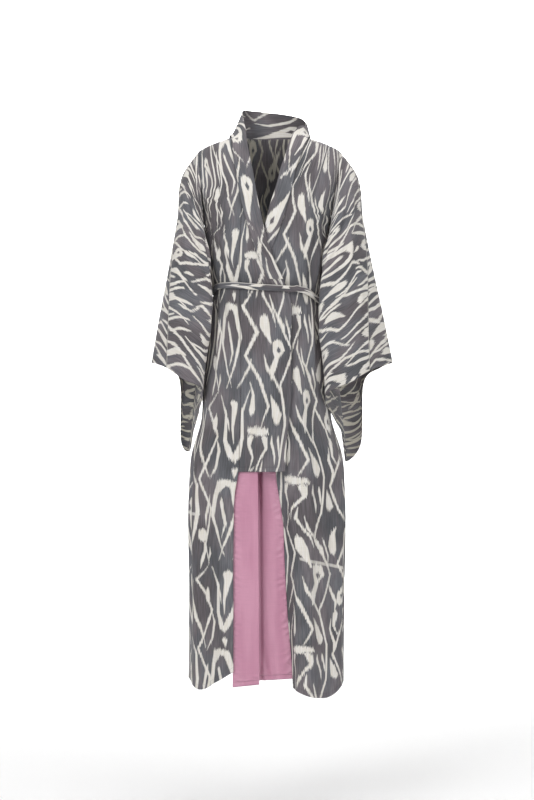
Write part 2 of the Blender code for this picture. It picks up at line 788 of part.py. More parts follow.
def solid(name, points, faces, material):
    """A closed mesh object with outward faces."""
    mesh = bpy.data.meshes.new(name)
    mesh.from_pydata([tuple(p) for p in points], [], faces)
    bm = bmesh.new()
    bm.from_mesh(mesh)
    bmesh.ops.recalc_face_normals(bm, faces=bm.faces)
    bm.to_mesh(mesh)
    bm.free()
    mesh.materials.append(material)
    item = bpy.data.objects.new(name, mesh)
    bpy.context.scene.collection.objects.link(item)
    return item


def knot(material):
    """The flat knot on the belt at the middle of the back, a rounded block."""
    angle = np.array(math.pi)
    z = float(belt_z(angle))
    base = body_point(angle, np.array(z))
    near = float(base[1]) + BELT_OUT + BELT_THICKNESS + SEAM_GAP
    middle = np.array([0.0, near + KNOT_SIZE[1] / 2.0, z])
    points = []
    rings, sectors = KNOT_RINGS, KNOT_SECTORS
    for i in range(1, rings):
        lift = math.pi * i / rings
        for k in range(sectors):
            turn = 2.0 * math.pi * k / sectors
            way = np.array([math.sin(lift) * math.cos(turn), math.cos(lift), math.sin(lift) * math.sin(turn)])
            way = np.sign(way) * np.abs(way) ** KNOT_POWER
            points.append(middle + way * np.array(KNOT_SIZE) / 2.0)
    points.append(middle + np.array([0.0, KNOT_SIZE[1] / 2.0, 0.0]))
    points.append(middle - np.array([0.0, KNOT_SIZE[1] / 2.0, 0.0]))
    faces = []
    for i in range(rings - 2):
        for k in range(sectors):
            a, b = i * sectors + k, i * sectors + (k + 1) % sectors
            faces += [(a, b, b + sectors), (a, b + sectors, a + sectors)]
    top, bottom = len(points) - 2, len(points) - 1
    for k in range(sectors):
        faces.append((top, (k + 1) % sectors, k))
        low = (rings - 2) * sectors
        faces.append((bottom, low + k, low + (k + 1) % sectors))
    return solid("belt_knot", points, faces, material)


def belt_end(name, start_x, drift, length, material):
    """One hanging belt end, a flat strip on the back just below the knot."""
    top = float(belt_z(np.array(math.pi))) - KNOT_SIZE[2] / 2.0 + END_OVERLAP

    def surface(u, v):
        z = top - length * v
        x = start_x + drift * v + END_WIDTH * (u - 0.5)
        out = END_OUT_TOP - (END_OUT_TOP - END_OUT_LOW) * smooth(0.0, 0.6, v)
        point = body_point(angle_at(x, z, -out, back=True), z, -out)
        point[..., 1] = np.maximum(point[..., 1], 0.0)
        return point

    return Wall(name, surface, 2, 8, thick=END_THICKNESS).build(material)


def main():
    """Builds every piece."""
    for item in list(bpy.data.objects):
        bpy.data.objects.remove(item, do_unlink=True)
    down = len(LEVELS) - 1
    Wall("back", back_surface, 22, down, flat_top_axis=1).build(cloth("back_cloth", IKAT, MATT))
    Wall("front_right", front_surface(-1), 11, down, flip=True, flat_top_axis=1).build(
        cloth("front_right_cloth", IKAT, MATT))
    Wall("front_left", front_surface(1), 15, down, flat_top_axis=1).build(cloth("front_left_cloth", IKAT, MATT))

    rows = rows_between(OVERLAP_TOP_Z, OVERLAP_HEM_Z)
    overlap_right = strip_surface(
        shifted(FRONT_EDGE_RIGHT, SEAM_GAP / 2.0), shifted(FREE_EDGE_RIGHT, -TUCK),
        rows, 0.0, lambda x, z: 0.0 * x)
    Wall("overlap_right", overlap_right, 6, len(rows) - 1, flip=True).build(
        cloth("overlap_right_cloth", IKAT, MATT))
    rows = rows_between(LEFT_OVERLAP_TOP_Z, LEFT_OVERLAP_HEM_Z)
    overlap_left = strip_surface(
        shifted(FREE_EDGE_LEFT, TUCK), shifted(FRONT_EDGE_LEFT, -SEAM_GAP / 2.0),
        rows, 0.0, lambda x, z: left_inset(x) + return_depth(z))
    Wall("overlap_left", overlap_left, 5, len(rows) - 1, flip=True).build(
        cloth("overlap_left_cloth", IKAT, MATT))

    rows = rows_between(SATIN_TOP_Z, SATIN_RIGHT_HEM_Z)
    satin_right = strip_surface(
        shifted(FRONT_EDGE_RIGHT, -TUCK), SATIN_RIGHT_EDGE, rows, SATIN_RIGHT_SLANT,
        lambda x, z: LAYER + LAYER_DROP * smooth(-0.70, -0.86, z))
    Wall("satin_right", satin_right, 6, len(rows) - 1, flip=True).build(cloth("satin_right_cloth", PINK, SATIN))
    rows = rows_between(SATIN_TOP_Z, SATIN_LEFT_HEM_Z)
    satin_left = strip_surface(
        SATIN_LEFT_EDGE, shifted(FRONT_EDGE_LEFT, TUCK), rows, SATIN_LEFT_SLANT,
        lambda x, z: LEFT_INSET + LAYER + return_depth(z))
    Wall("satin_left", satin_left, 8, len(rows) - 1, flip=True).build(cloth("satin_left_cloth", PINK, SATIN))

    Wall("collar_band", collar_surface, 56, 4, flip=True).build(cloth("collar_cloth", IKAT, MATT))
    for side, word in ((-1, "right"), (1, "left")):
        for half, first, last, across in (
                ("front", OVER_SEAM + OVER_GAP, UNDER_SEAM - UNDER_GAP, 16),
                ("back", UNDER_SEAM + UNDER_GAP, 1.0 + OVER_SEAM - OVER_GAP, 10)):
            name = f"sleeve_{half}_{word}"
            surface = sleeve_surface(side, first, last)
            Wall(name, surface, across, 14, flip=side < 0, flat_top_axis=0).build(cloth(f"{name}_cloth", IKAT, MATT))
    band_loop("belt", cloth("belt_cloth", IKAT, MATT))
    knot(cloth("belt_knot_cloth", IKAT, MATT))
    belt_end("belt_end_short", -0.012, -0.012, 0.10, cloth("belt_end_short_cloth", IKAT, MATT))
    belt_end("belt_end_long", 0.012, 0.014, 0.14, cloth("belt_end_long_cloth", IKAT, MATT))


main()
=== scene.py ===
"""Kimono robe in its hollow form as it hangs on a wearer: ikat cloth, with satin strips at the open edges.

Each cut panel is one piece, a thin shell on its solid's form. Metres, +Z up, +X to the wearer's left and +Y
to the wearer's back.
"""
from __future__ import annotations

import logging
import math
from dataclasses import dataclass, field
from enum import Enum
from typing import Callable

import bpy
import numpy as np
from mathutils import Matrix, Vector


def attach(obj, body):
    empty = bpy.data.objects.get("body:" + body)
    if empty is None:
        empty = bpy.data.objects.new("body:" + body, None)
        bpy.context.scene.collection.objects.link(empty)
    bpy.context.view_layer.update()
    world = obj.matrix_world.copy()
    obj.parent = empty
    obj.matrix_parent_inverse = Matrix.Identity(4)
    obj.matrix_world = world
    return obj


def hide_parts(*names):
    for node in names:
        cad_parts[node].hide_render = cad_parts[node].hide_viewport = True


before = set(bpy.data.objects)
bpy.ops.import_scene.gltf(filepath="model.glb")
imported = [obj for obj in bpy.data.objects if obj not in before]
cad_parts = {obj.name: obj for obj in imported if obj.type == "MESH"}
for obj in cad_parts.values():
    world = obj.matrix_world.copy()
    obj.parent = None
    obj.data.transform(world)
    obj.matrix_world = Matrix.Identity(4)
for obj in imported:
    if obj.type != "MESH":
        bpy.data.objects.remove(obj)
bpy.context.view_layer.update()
LOG = logging.getLogger("kimono_robe")
BODY = "root"

Array = np.ndarray
Rule = Callable[[Array], Array]
Surface = Callable[[Array, Array], Array]
Span = tuple[float, float]
Triple = tuple[float, float, float]
Ends = tuple[float, float, float, float]
Material = bpy.types.Material
Node = bpy.types.Node
Object = bpy.types.Object
Socket = bpy.types.NodeSocket
Tree = bpy.types.NodeTree
Value = float | Socket

# Sizes shared by every panel
CLOTH = 0.0012
PART_CLOTH = 0.0015
PART_BELT = 0.004
FAR = 0.2
CLOTH_MAP = "cloth"
LIGHT_LINE = "light_line"
SEAM_GAP = 0.0003
TUCK = 0.002
RING_POWER = 2.3
SHOULDER_ROUND = 0.10
NECK_ROUND = 0.5
LEFT_SHOULDER_SHIFT = 0.012
UNDERARM_Z = -0.253
ARMHOLE_TOP_Z = -0.037
BELT_MEAN_Z = -0.385
BELT_REACH = 0.07
FRONT_EDGE_SET = 0.00015
BACK_EDGE_SET = 0.0004
SIDE_TURN = 0.00001
TOP_START_Z = -0.02
HEM_START_Z = -1.33
HEIGHTS = np.linspace(-1.42, 0.14, 3121)
NECK_TO_SHOULDER = (0.085, 0.15)
FULL_TURN = 360.0
FIRST_ANGLE = 0.4
ANGLE_ROUNDS = 10
EDGE_ROUNDS = 8
SMOOTH_ANGLE = math.radians(60.0)
WEAVE_TONES = (0.2, 0.8)
TINY = 1e-9

# Body ring by height
BODY_ROWS = np.array([
    # z, half_width, front, back
    [0.02, 0.196, 0.07, 0.077],
    [-0.06, 0.19, 0.086, 0.095],
    [-0.12, 0.179, 0.099, 0.106],
    [-0.18, 0.166, 0.111, 0.113],
    [-0.253, 0.1525, 0.118, 0.112],
    [-0.31, 0.146, 0.119, 0.107],
    [-0.355, 0.139, 0.112, 0.101],
    [-0.385, 0.131, 0.103, 0.094],
    [-0.42, 0.135, 0.107, 0.1],
    [-0.5, 0.142, 0.114, 0.114],
    [-0.6, 0.147, 0.119, 0.124],
    [-0.7, 0.157, 0.122, 0.13],
    [-0.78, 0.18, 0.124, 0.133],
    [-0.86, 0.186, 0.126, 0.135],
    [-1.1, 0.186, 0.13, 0.14],
    [-1.36, 0.187, 0.134, 0.145],
])
# Shoulder line by distance from the middle
SHOULDER_ROWS = np.array([
    # x, z
    [0.0, 0.004], [0.06, 0.001], [0.085, -0.005], [0.1, -0.01], [0.13, -0.021], [0.15, -0.03],
    [0.165, -0.039], [0.188, -0.061],
])
# How far the back's top is raised inside the neck
NECK_RISE_ROWS = np.array([
    # x, rise
    [0.0, 0.08], [0.045, 0.062], [0.07, 0.024], [0.08, 0.005], [0.086, 0.0], [0.4, 0.0],
])
# Armhole seam by height
ARMHOLE_ROWS = np.array([
    # z, x
    [0.0, 0.166], [-0.04, 0.165], [-0.1, 0.161], [-0.15, 0.1575], [-0.2, 0.1545], [-0.253, 0.1525],
])
# Edges of the fronts, by height
FREE_EDGE_RIGHT = np.array([
    # z, x
    [0.0, -0.051], [-0.0352, -0.0465], [-0.0602, -0.0413], [-0.1052, -0.0323], [-0.1365, -0.0272],
    [-0.1777, -0.0198], [-0.2094, -0.0126], [-0.2349, -0.0071], [-0.285, 0.0071], [-0.3372, 0.0285],
    [-0.3722, 0.0476], [-0.396, 0.056], [-0.5035, 0.0594], [-0.646, 0.0593], [-0.7409, 0.0498],
    [-0.8167, 0.045],
])
FREE_EDGE_LEFT = np.array([
    # z, x
    [0.0, 0.0585], [-0.034, 0.0506], [-0.0592, 0.0432], [-0.0824, 0.0345], [-0.1063, 0.0287],
    [-0.1441, 0.0184], [-0.1706, 0.0093], [-0.2001, 0.0019], [-0.2298, -0.0052], [-0.278, -0.0214],
    [-0.3255, -0.0404], [-0.373, -0.057], [-0.409, -0.0643], [-0.81, -0.0643],
])
FRONT_EDGE_RIGHT = np.array([
    # z, x
    [0.004, -0.088], [-0.004, -0.0862], [-0.03, -0.0848], [-0.06, -0.08], [-0.09, -0.071],
    [-0.12, -0.0605], [-0.172, -0.059], [-0.235, -0.0628], [-0.646, -0.0628], [-0.741, -0.0652],
    [-0.8167, -0.0673], [-0.864, -0.0756], [-0.966, -0.0788], [-1.16, -0.0795], [-1.3, -0.0795],
])
FRONT_EDGE_LEFT = np.array([
    # z, x
    [0.004, 0.104], [-0.006, 0.102], [-0.03, 0.0935], [-0.06, 0.0815], [-0.12, 0.058],
    [-0.17, 0.038], [-0.23, 0.0205], [-0.78, 0.0205], [-0.817, 0.021], [-0.95, 0.039],
    [-1.01, 0.041], [-1.16, 0.049], [-1.3, 0.06], [-1.34, 0.061],
])
TURN_LEFT = np.array([
    # z, x of the fold where the left front turns inward
    [0.004, 0.114], [-0.006, 0.113], [-0.12, 0.08], [-0.3, 0.066], [-0.7, 0.06],
    [-0.817, 0.056], [-0.95, 0.062], [-1.01, 0.069], [-1.16, 0.069], [-1.34, 0.071],
])
COLLAR_SEAM_RIGHT = np.array([
    # z, x
    [0.0, -0.085], [-0.035, -0.0835], [-0.073, -0.08], [-0.108, -0.0735], [-0.144, -0.067],
    [-0.18, -0.06], [-0.216, -0.051], [-0.252, -0.04], [-0.285, -0.029], [-0.337, -0.008],
    [-0.365, 0.005],
])
COLLAR_SEAM_LEFT = np.array([
    # z, x
    [0.0, 0.1017], [-0.044, 0.0878], [-0.083, 0.072], [-0.112, 0.0657], [-0.14, 0.0597],
    [-0.181, 0.0477], [-0.2165, 0.038], [-0.2525, 0.024], [-0.2765, 0.015], [-0.32, -0.004],
    [-0.365, -0.022],
])
# Collar round the neck: seam point, then free edge point
NECK_ROWS = np.array([
    # x0, y0, z0, x1, y1, z1
    [-0.09, -0.006, -0.001, -0.052, -0.036, 0.01],
    [-0.0925, 0.026, -0.005, -0.058, 0.004, 0.04],
    [-0.081, 0.065, -0.0045, -0.06, 0.044, 0.066],
    [-0.043, 0.0895, -0.004, -0.038, 0.084, 0.072],
    [0.006, 0.089, -0.003, 0.005, 0.095, 0.069],
    [0.053, 0.0895, -0.004, 0.052, 0.087, 0.062],
    [0.093, 0.065, -0.005, 0.088, 0.056, 0.047],
    [0.105, 0.026, -0.006, 0.0985, 0.02, 0.026],
    [0.106, -0.006, -0.003, 0.08, -0.022, 0.02],
])
# Belt height by angle from the front, in degrees
BELT_ROWS = np.array([
    # angle, z
    [-180, -0.4], [-120, -0.402], [-90, -0.395], [-62, -0.3735], [-40, -0.3715], [0, -0.378],
    [20, -0.381], [40, -0.384], [60, -0.402], [90, -0.412], [130, -0.406], [180, -0.4],
])
HEM_RIGHT = np.array([
    # x, z
    [-0.2, -1.324], [-0.185, -1.327], [-0.17, -1.338], [-0.143, -1.334], [-0.127, -1.322],
    [-0.102, -1.305], [-0.0795, -1.291],
])
HEM_LEFT = np.array([
    # x, z
    [0.06, -1.331], [0.078, -1.342], [0.111, -1.353], [0.145, -1.357], [0.167, -1.346],
    [0.185, -1.329], [0.2, -1.326],
])
SATIN_RIGHT_EDGE = np.array([
    # z, x
    [-0.4, -0.03], [-0.6, -0.026], [-0.817, -0.0223], [-1.1, -0.0198], [-1.34, -0.0183],
])
SATIN_LEFT_EDGE = np.array([
    # z, x
    [-0.4, -0.055], [-0.8, -0.052], [-1.34, -0.05],
])
# Large soft folds of the body: angle and spread in degrees, depth, top, lean in degrees a metre
BODY_FOLDS = (
    # angle, spread, depth,  top,   lean
    (-62, 9, 0.0070, -0.46, -3),
    (-45, 7, -0.0060, -0.60, 2),
    (-31, 6, 0.0050, -0.70, 3),
    (29, 7, 0.0060, -0.50, 3),
    (45, 7, -0.0060, -0.48, -2),
    (63, 8, 0.0070, -0.60, 3),
    (-104, 9, 0.0090, -0.45, 2),
    (-124, 8, -0.0075, -0.52, -2),
    (-146, 9, 0.0100, -0.46, 3),
    (-170, 8, -0.0085, -0.58, -2),
    (164, 9, 0.0090, -0.50, 3),
    (140, 8, -0.0080, -0.45, -2),
    (117, 9, 0.0085, -0.56, 2),
)
FOLD_RUN = 0.22
# Shares of a crease's length over which it grows, then dies away
BODY_FADES = ((-0.12, 0.30), (1.12, 0.55))
SLEEVE_FADES = ((-0.15, 0.35), (1.15, 0.60))
# Creases of the body from one end to the other: angles and spread in degrees, heights, depth outward
BODY_CREASES = (
    # angle0, z0,  angle1, z1, spread, depth
    # drawn in above the belt, at the front
    (-78, -0.34, -70, -0.235, 3.2, 0.0034),
    (-70, -0.352, -60, -0.255, 2.6, -0.004),
    (-64, -0.238, -29, -0.356, 4.2, -0.005),
    (-58, -0.222, -22, -0.35, 3.8, 0.0036),
    (-55, -0.352, -52, -0.29, 2.0, 0.003),
    (-47, -0.357, -46, -0.3, 1.8, -0.0028),
    (-41, -0.358, -38, -0.285, 2.0, 0.0026),
    (-33, -0.359, -32, -0.315, 1.6, -0.0022),
    (-25, -0.362, -20, -0.3, 2.0, 0.0022),
    (20, -0.364, 17, -0.3, 2.0, 0.002),
    (31, -0.366, 27, -0.255, 2.6, -0.0026),
    (39, -0.368, 36, -0.29, 2.0, 0.003),
    (46, -0.371, 47, -0.215, 3.0, -0.0046),
    (54, -0.376, 58, -0.24, 2.8, 0.004),
    (63, -0.384, 69, -0.262, 2.8, -0.004),
    (73, -0.39, 76, -0.27, 3.4, 0.003),
    # drawn in below the belt, at the front
    (-78, -0.412, -77, -0.58, 3.0, -0.0034),
    (-70, -0.408, -68, -0.54, 2.8, 0.0036),
    (-61, -0.402, -60, -0.48, 2.0, -0.0034),
    (-54, -0.398, -50, -0.66, 3.0, 0.0032),
    (-46, -0.396, -45, -0.455, 1.8, -0.0028),
    (-38, -0.398, -35, -0.5, 2.2, 0.0024),
    (-30, -0.399, -29, -0.445, 1.6, -0.002),
    (-20, -0.4, -17, -0.57, 2.4, 0.002),
    (-8, -0.402, -7, -0.45, 1.8, -0.0014),
    (7, -0.403, 8, -0.52, 2.2, -0.0018),
    (17, -0.405, 18, -0.45, 1.6, 0.0018),
    (25, -0.409, 23, -0.49, 2.0, 0.0026),
    (33, -0.412, 31, -0.64, 2.8, -0.0032),
    (41, -0.416, 40, -0.48, 2.0, 0.0028),
    (50, -0.42, 46, -0.65, 3.0, 0.0042),
    (58, -0.427, 55, -0.56, 2.6, -0.0042),
    (66, -0.434, 65, -0.5, 2.2, 0.0034),
    (75, -0.438, 73, -0.69, 3.2, -0.0038),
    # soft fullness at the hips, beside the sleeves
    (-78, -0.508, -78, -0.7, 14.0, 0.0085),
    (78, -0.52, 78, -0.69, 13.0, 0.005),
    # from the shoulders and armholes down the fronts
    (-66, -0.055, -50, -0.225, 4.0, 0.004),
    (-76, -0.1, -60, -0.28, 3.6, -0.0046),
    (-54, -0.045, -44, -0.16, 3.2, -0.003),
    (-46, -0.12, -41, -0.23, 2.6, 0.0022),
    (-84, -0.15, -74, -0.26, 3.0, 0.0034),
    (58, -0.055, 48, -0.25, 4.0, 0.0042),
    (68, -0.1, 58, -0.3, 3.6, -0.0048),
    (78, -0.15, 70, -0.34, 3.2, -0.003),
    (46, -0.06, 38, -0.19, 3.2, -0.003),
    (36, -0.11, 31, -0.23, 2.6, 0.0022),
    # down the skirt, at the front
    (-84, -0.6, -86, -1.29, 3.6, 0.0046),
    (-74, -0.7, -78, -1.31, 3.4, -0.0056),
    (-63, -0.78, -62, -1.24, 3.2, 0.0042),
    (-52, -0.88, -55, -1.33, 3.6, -0.005),
    (-43, -0.7, -44, -1.15, 3.0, 0.0036),
    (-35, -0.86, -33, -1.2, 3.0, -0.0034),
    (34, -0.64, 36, -1.25, 3.2, -0.0046),
    (44, -0.76, 45, -1.34, 3.2, 0.0044),
    (54, -0.82, 55, -1.35, 3.4, -0.005),
    (64, -0.68, 66, -1.26, 3.4, 0.005),
    (74, -0.72, 77, -1.33, 3.4, -0.0052),
    (84, -0.64, 86, -1.28, 3.6, 0.0042),
    # at the back, above and below the belt
    (-160, -0.355, -152, -0.2, 3.6, 0.0036),
    (-172, -0.358, -170, -0.24, 2.8, -0.0032),
    (176, -0.356, 172, -0.18, 3.4, 0.0038),
    (163, -0.36, 158, -0.26, 2.8, -0.0034),
    (148, -0.362, 142, -0.19, 3.8, 0.0036),
    (132, -0.366, 124, -0.23, 3.4, -0.0036),
    (-140, -0.36, -130, -0.21, 3.6, -0.0036),
    (-126, -0.362, -114, -0.18, 3.8, 0.0038),
    (-108, -0.36, -102, -0.25, 3.2, -0.0032),
    (112, -0.372, 104, -0.24, 3.4, 0.0034),
    (-164, -0.44, -166, -0.64, 3.0, 0.0036),
    (-150, -0.436, -151, -0.54, 2.6, -0.0032),
    (-136, -0.44, -138, -0.76, 3.4, 0.0038),
    (-118, -0.436, -121, -0.58, 3.0, -0.0034),
    (174, -0.44, 173, -0.6, 2.8, -0.0032),
    (154, -0.44, 152, -0.72, 3.4, 0.0038),
    (128, -0.446, 126, -0.62, 3.0, 0.0034),
    (104, -0.452, 102, -0.7, 3.4, 0.0036),
    (-158, -0.9, -162, -1.29, 4.2, -0.0052),
    (-134, -0.82, -130, -1.24, 4.2, 0.0048),
    (150, -0.78, 153, -1.28, 4.2, 0.005),
    (128, -0.9, 125, -1.3, 4.2, -0.0048),
    (-174, -0.82, -178, -1.18, 3.6, 0.0042),
    (-106, -0.05, -118, -0.18, 4.2, -0.0034),
    (108, -0.06, 120, -0.2, 4.2, -0.0036),
)

# The pattern's repeat, charted, the size of its units in metres, and how its curves are held
CHART_ACROSS = 0.0088
CHART_DOWN = 0.0068
REPEAT_WIDE = 40.0
REPEAT_LONG = 60.0
LANE_GAP = 1.0
LANE_STEP = 0.004
MIDDLE_LOW = -4.0
MIDDLE_SPAN = 48.0
HALF_LOW = -1.0
HALF_SPAN = 5.0
# Each figure runs down the warp: down, across, half width
FIGURES = (
    # long lines that turn back and forth
    ((0, 2.0, 0.24), (7, 5.0, 0.34), (18, 0.8, 0.28), (30, 5.4, 0.36), (41, 2.2, 0.24),
     (51, -0.6, 0.34), (60, 2.0, 0.24)),
    ((0, 36.8, 0.24), (9, 34.6, 0.34), (21, 39.0, 0.36), (34, 35.0, 0.26), (47, 37.4, 0.34),
     (60, 36.8, 0.24)),
    ((35, 17.4, 0.08), (41, 14.2, 0.30), (51, 18.4, 0.38), (65, 14.6, 0.28), (75, 18.0, 0.36),
     (88, 15.8, 0.26), (95, 17.4, 0.08)),
    # an eye, open at one side, and what it holds
    ((3, 11.4, 0.10), (9, 7.8, 0.30), (20, 6.4, 0.42), (30, 8.6, 0.30), (39, 12.0, 0.14)),
    ((1, 11.8, 0.08), (7, 14.2, 0.32), (16, 14.4, 0.46), (26, 13.0, 0.30), (33, 11.6, 0.12)),
    ((10.8, 10.4, -0.3), (11.8, 10.2, 1.35), (14.2, 9.9, 1.75), (16.2, 10.8, 1.20), (19, 11.8, 0.50),
     (27, 11.4, 0.30), (33, 9.8, 0.10)),
    ((15.0, 9.0, -0.1), (17, 8.8, 0.55), (22, 8.7, 0.30), (27, 9.6, 0.10)),
    # flames
    ((40, 8.6, 0.05), (44, 9.0, 0.50), (49, 10.0, 1.10), (53.5, 10.6, 1.65), (56.5, 10.8, 1.30),
     (58.2, 10.6, -0.3)),
    ((41, 13.4, 0.08), (46, 12.6, 0.34), (54, 13.6, 0.42), (61, 15.8, 0.26), (65, 17.0, 0.06)),
    ((37, 8.8, 0.06), (45, 5.4, 0.36), (53, 7.4, 0.40), (61, 9.8, 0.26), (65, 10.6, 0.06)),
    ((20, 5.6, 0.05), (24, 3.6, 0.70), (28, 2.2, 1.40), (31.0, 1.8, 1.05), (32.6, 1.6, -0.3)),
    ((33.5, 0.8, -0.2), (35, 0.7, 0.60), (40, 0.2, 0.30), (44, 1.6, 0.06)),
    ((5, 1.6, -0.1), (8, 0.4, 0.60), (11.5, -0.2, 1.15), (13.8, 0.0, 0.80), (15.2, 0.3, -0.3)),
    # an arch with a tongue
    ((4.6, 21.7, -0.4), (5.4, 21.4, 1.90), (7.2, 20.6, 1.35), (10, 19.4, 0.66), (18, 18.4, 0.44),
     (27, 20.2, 0.28), (33, 22.0, 0.08)),
    ((4.9, 22.2, -0.3), (5.8, 22.7, 1.50), (8.0, 23.8, 0.70), (16, 24.8, 0.44), (25, 22.8, 0.36),
     (34, 20.2, 0.12)),
    ((10.5, 21.2, -0.2), (12.2, 21.2, 0.46), (21, 22.2, 0.34), (26, 21.0, 0.06)),
    # a long cup that holds a tongue
    ((36, 18.2, 0.08), (43, 20.6, 0.36), (52, 20.8, 0.52), (57.5, 22.4, 0.85), (59.4, 22.9, -0.3)),
    ((34, 27.4, 0.08), (42, 25.2, 0.34), (51, 25.0, 0.50), (57.5, 23.4, 0.85), (59.8, 23.0, -0.3)),
    ((37.8, 22.6, -0.4), (38.8, 22.9, 1.10), (41.5, 23.1, 0.74), (48, 22.6, 0.32), (53, 22.9, 0.06)),
    # a broad line that turns twice, with drops beside it
    ((0, 28.8, 0.14), (6, 25.8, 0.42), (14, 29.2, 0.58), (22, 25.8, 0.40), (31, 29.6, 0.46),
     (41, 32.6, 0.34), (47, 30.8, 0.10)),
    ((7.6, 31.2, -0.3), (9, 31.0, 1.00), (12.5, 31.2, 1.35), (15, 31.8, 0.80), (18.6, 32.8, 0.16)),
    ((22, 30.6, 0.05), (27, 31.4, 0.44), (33, 34.0, 0.36), (38, 35.8, 0.06)),
    ((31, 27.0, 0.06), (36, 28.2, 0.36), (42, 28.0, 0.90), (44.6, 27.6, -0.3)),
    # a drop with a neck
    ((16.6, 34.6, -0.4), (17.8, 34.6, 1.40), (21, 34.9, 1.80), (23.5, 34.2, 0.70), (27, 33.2, 0.90),
     (32, 32.6, 0.20)),
    ((1, 32.6, 0.06), (6, 33.4, 0.32), (12, 36.4, 0.40), (15.5, 37.0, 0.06)),
    ((58, 31.4, 0.06), (62, 31.0, 0.36), (68, 33.4, 0.30), (72, 34.2, 0.06)),
    # a stepped bar and what hangs from it
    ((47.0, 29.6, -0.6), (47.9, 29.6, 3.10), (49.4, 30.0, 3.30), (50.2, 30.2, -0.6)),
    ((49.6, 27.8, -0.2), (50.5, 27.6, 1.00), (53, 27.0, 0.55), (57, 28.2, 0.30), (62, 27.2, 0.10)),
    ((49.6, 31.6, -0.2), (50.5, 31.8, 0.90), (54, 32.4, 0.46), (59, 30.0, 0.34), (63, 29.2, 0.06)),
    # dashes in pairs, and single drops
    ((50, 34.0, 0.05), (52.6, 34.0, 0.40), (57, 35.2, 0.30), (60, 35.4, 0.05)),
    ((50, 35.8, 0.05), (52, 35.9, 0.32), (55, 36.4, 0.26), (57.5, 36.6, 0.05)),
    ((37, 32.8, 0.05), (41, 34.2, 0.80), (44, 35.0, 1.20), (46, 35.2, 0.75), (47.5, 35.2, -0.3)),
    ((27.0, 15.4, 0.05), (30, 15.8, 0.42), (34, 15.2, 0.28), (37, 15.0, 0.05)),
    ((29.0, 17.4, 0.05), (31.5, 17.6, 0.34), (35, 17.0, 0.05)),
    ((10, 17.6, 0.05), (13, 17.2, 0.40), (18, 16.2, 0.32), (22, 16.0, 0.05)),
    ((22.0, 15.0, -0.3), (23.2, 15.2, 0.90), (26, 15.2, 1.00), (27.8, 15.2, -0.3)),
    ((23, 27.4, 0.05), (26, 26.8, 0.38), (31, 24.8, 0.30), (34, 23.6, 0.05)),
    ((43, 17.2, -0.1), (45.0, 17.0, 0.60), (47.5, 17.0, 0.76), (50, 17.2, -0.1)),
    ((52, 18.4, 0.05), (55.5, 19.4, 0.46), (61, 18.8, 0.36), (65, 17.2, 0.06)),
    ((23, 38.0, 0.05), (26, 39.0, 0.40), (31, 40.6, 0.32), (35, 40.4, 0.05)),
    ((45, 4.4, 0.05), (49, 3.0, 0.46), (55, 4.8, 0.36), (61, 7.2, 0.28), (66, 8.2, 0.05)),
    ((52, 38.4, 0.05), (55.5, 39.0, 0.80), (58.4, 39.5, 1.20), (60.4, 39.7, -0.3)),
    ((37, 39.6, 0.05), (41, 39.0, 0.40), (46, 40.2, 0.34), (50, 39.6, 0.05)),
    ((12, 4.0, 0.05), (15.5, 4.4, 0.36), (20, 3.4, 0.28), (23, 3.2, 0.05)),
    ((33, 7.4, 0.05), (36, 6.6, 0.42), (38.8, 6.4, 0.05)),
    ((8.5, 36.9, 0.05), (11, 37.4, 0.30), (15, 38.4, 0.30), (18, 38.2, 0.05)),
    ((25, 7.0, 0.05), (28, 7.3, 0.30), (32, 8.9, 0.26), (35, 9.3, 0.05)),
    ((43, 20.6, 0.05), (46, 21.3, 0.34), (49, 21.8, 0.05)),
    ((60.5, 23.2, -0.2), (61.6, 23.2, 0.70), (63.4, 23.4, 0.30), (65, 23.4, -0.2)),
)
# Ground-coloured hearts inside the largest figures
HEARTS = (
    ((12.4, 10.1, -0.3), (13.8, 10.0, 0.62), (15.2, 10.3, -0.3)),
    ((50.5, 10.4, -0.3), (53.5, 10.6, 0.60), (56.0, 10.8, -0.3)),
    ((19.0, 34.8, -0.3), (21.0, 34.9, 0.72), (22.6, 34.6, -0.3)),
    ((26.5, 2.6, -0.3), (28.8, 2.1, 0.46), (30.6, 1.9, -0.3)),
)


def hermite(stops: Array, values: Array, at: Array) -> Array:
    """A smooth curve through rows of values.

    Args:
        stops: Rising places of the rows.
        values: One row for each stop, of any shape.
        at: Places to read the curve at, of any shape.

    Returns:
        The values at those places, straight on past both ends.
    """
    stops, values, at = (np.asarray(numbers, float) for numbers in (stops, values, at))
    slopes = np.gradient(values, stops, axis=0)
    i = np.clip(np.searchsorted(stops, at) - 1, 0, len(stops) - 2)
    width = stops[i + 1] - stops[i]
    t = (at - stops[i]) / width
    extra = (1,) * (values.ndim - 1)
    t = t.reshape(t.shape + extra)
    width = width.reshape(width.shape + extra)
    inside = np.clip(t, 0.0, 1.0)
    a, b, ma, mb = values[i], values[i + 1], slopes[i] * width, slopes[i + 1] * width
    t2, t3 = inside ** 2, inside ** 3
    curve = (2 * t3 - 3 * t2 + 1) * a + (t3 - 2 * t2 + inside) * ma + (3 * t2 - 2 * t3) * b + (t3 - t2) * mb
    return curve + np.where(t > 1.0, (t - 1.0) * mb, 0.0) + np.where(t < 0.0, t * ma, 0.0)


def column(rows: Array, at: Array, index: int = 1) -> Array:
    """A table's column read at places in its first column.

    Args:
        rows: The table, its first column rising or falling.
        at: Places in the first column.
        index: Which column to read.

    Returns:
        The column's smooth values there.
    """
    if rows[0, 0] > rows[-1, 0]:
        rows = rows[::-1]
    return hermite(rows[:, 0], rows[:, index], at)


def smooth(low: float, high: float, at: Array) -> Array:
    """A soft step from 0 at one place to 1 at another, read at places."""
    t = np.clip((np.asarray(at, float) - low) / (high - low), 0.0, 1.0)
    return t * t * (3.0 - 2.0 * t)


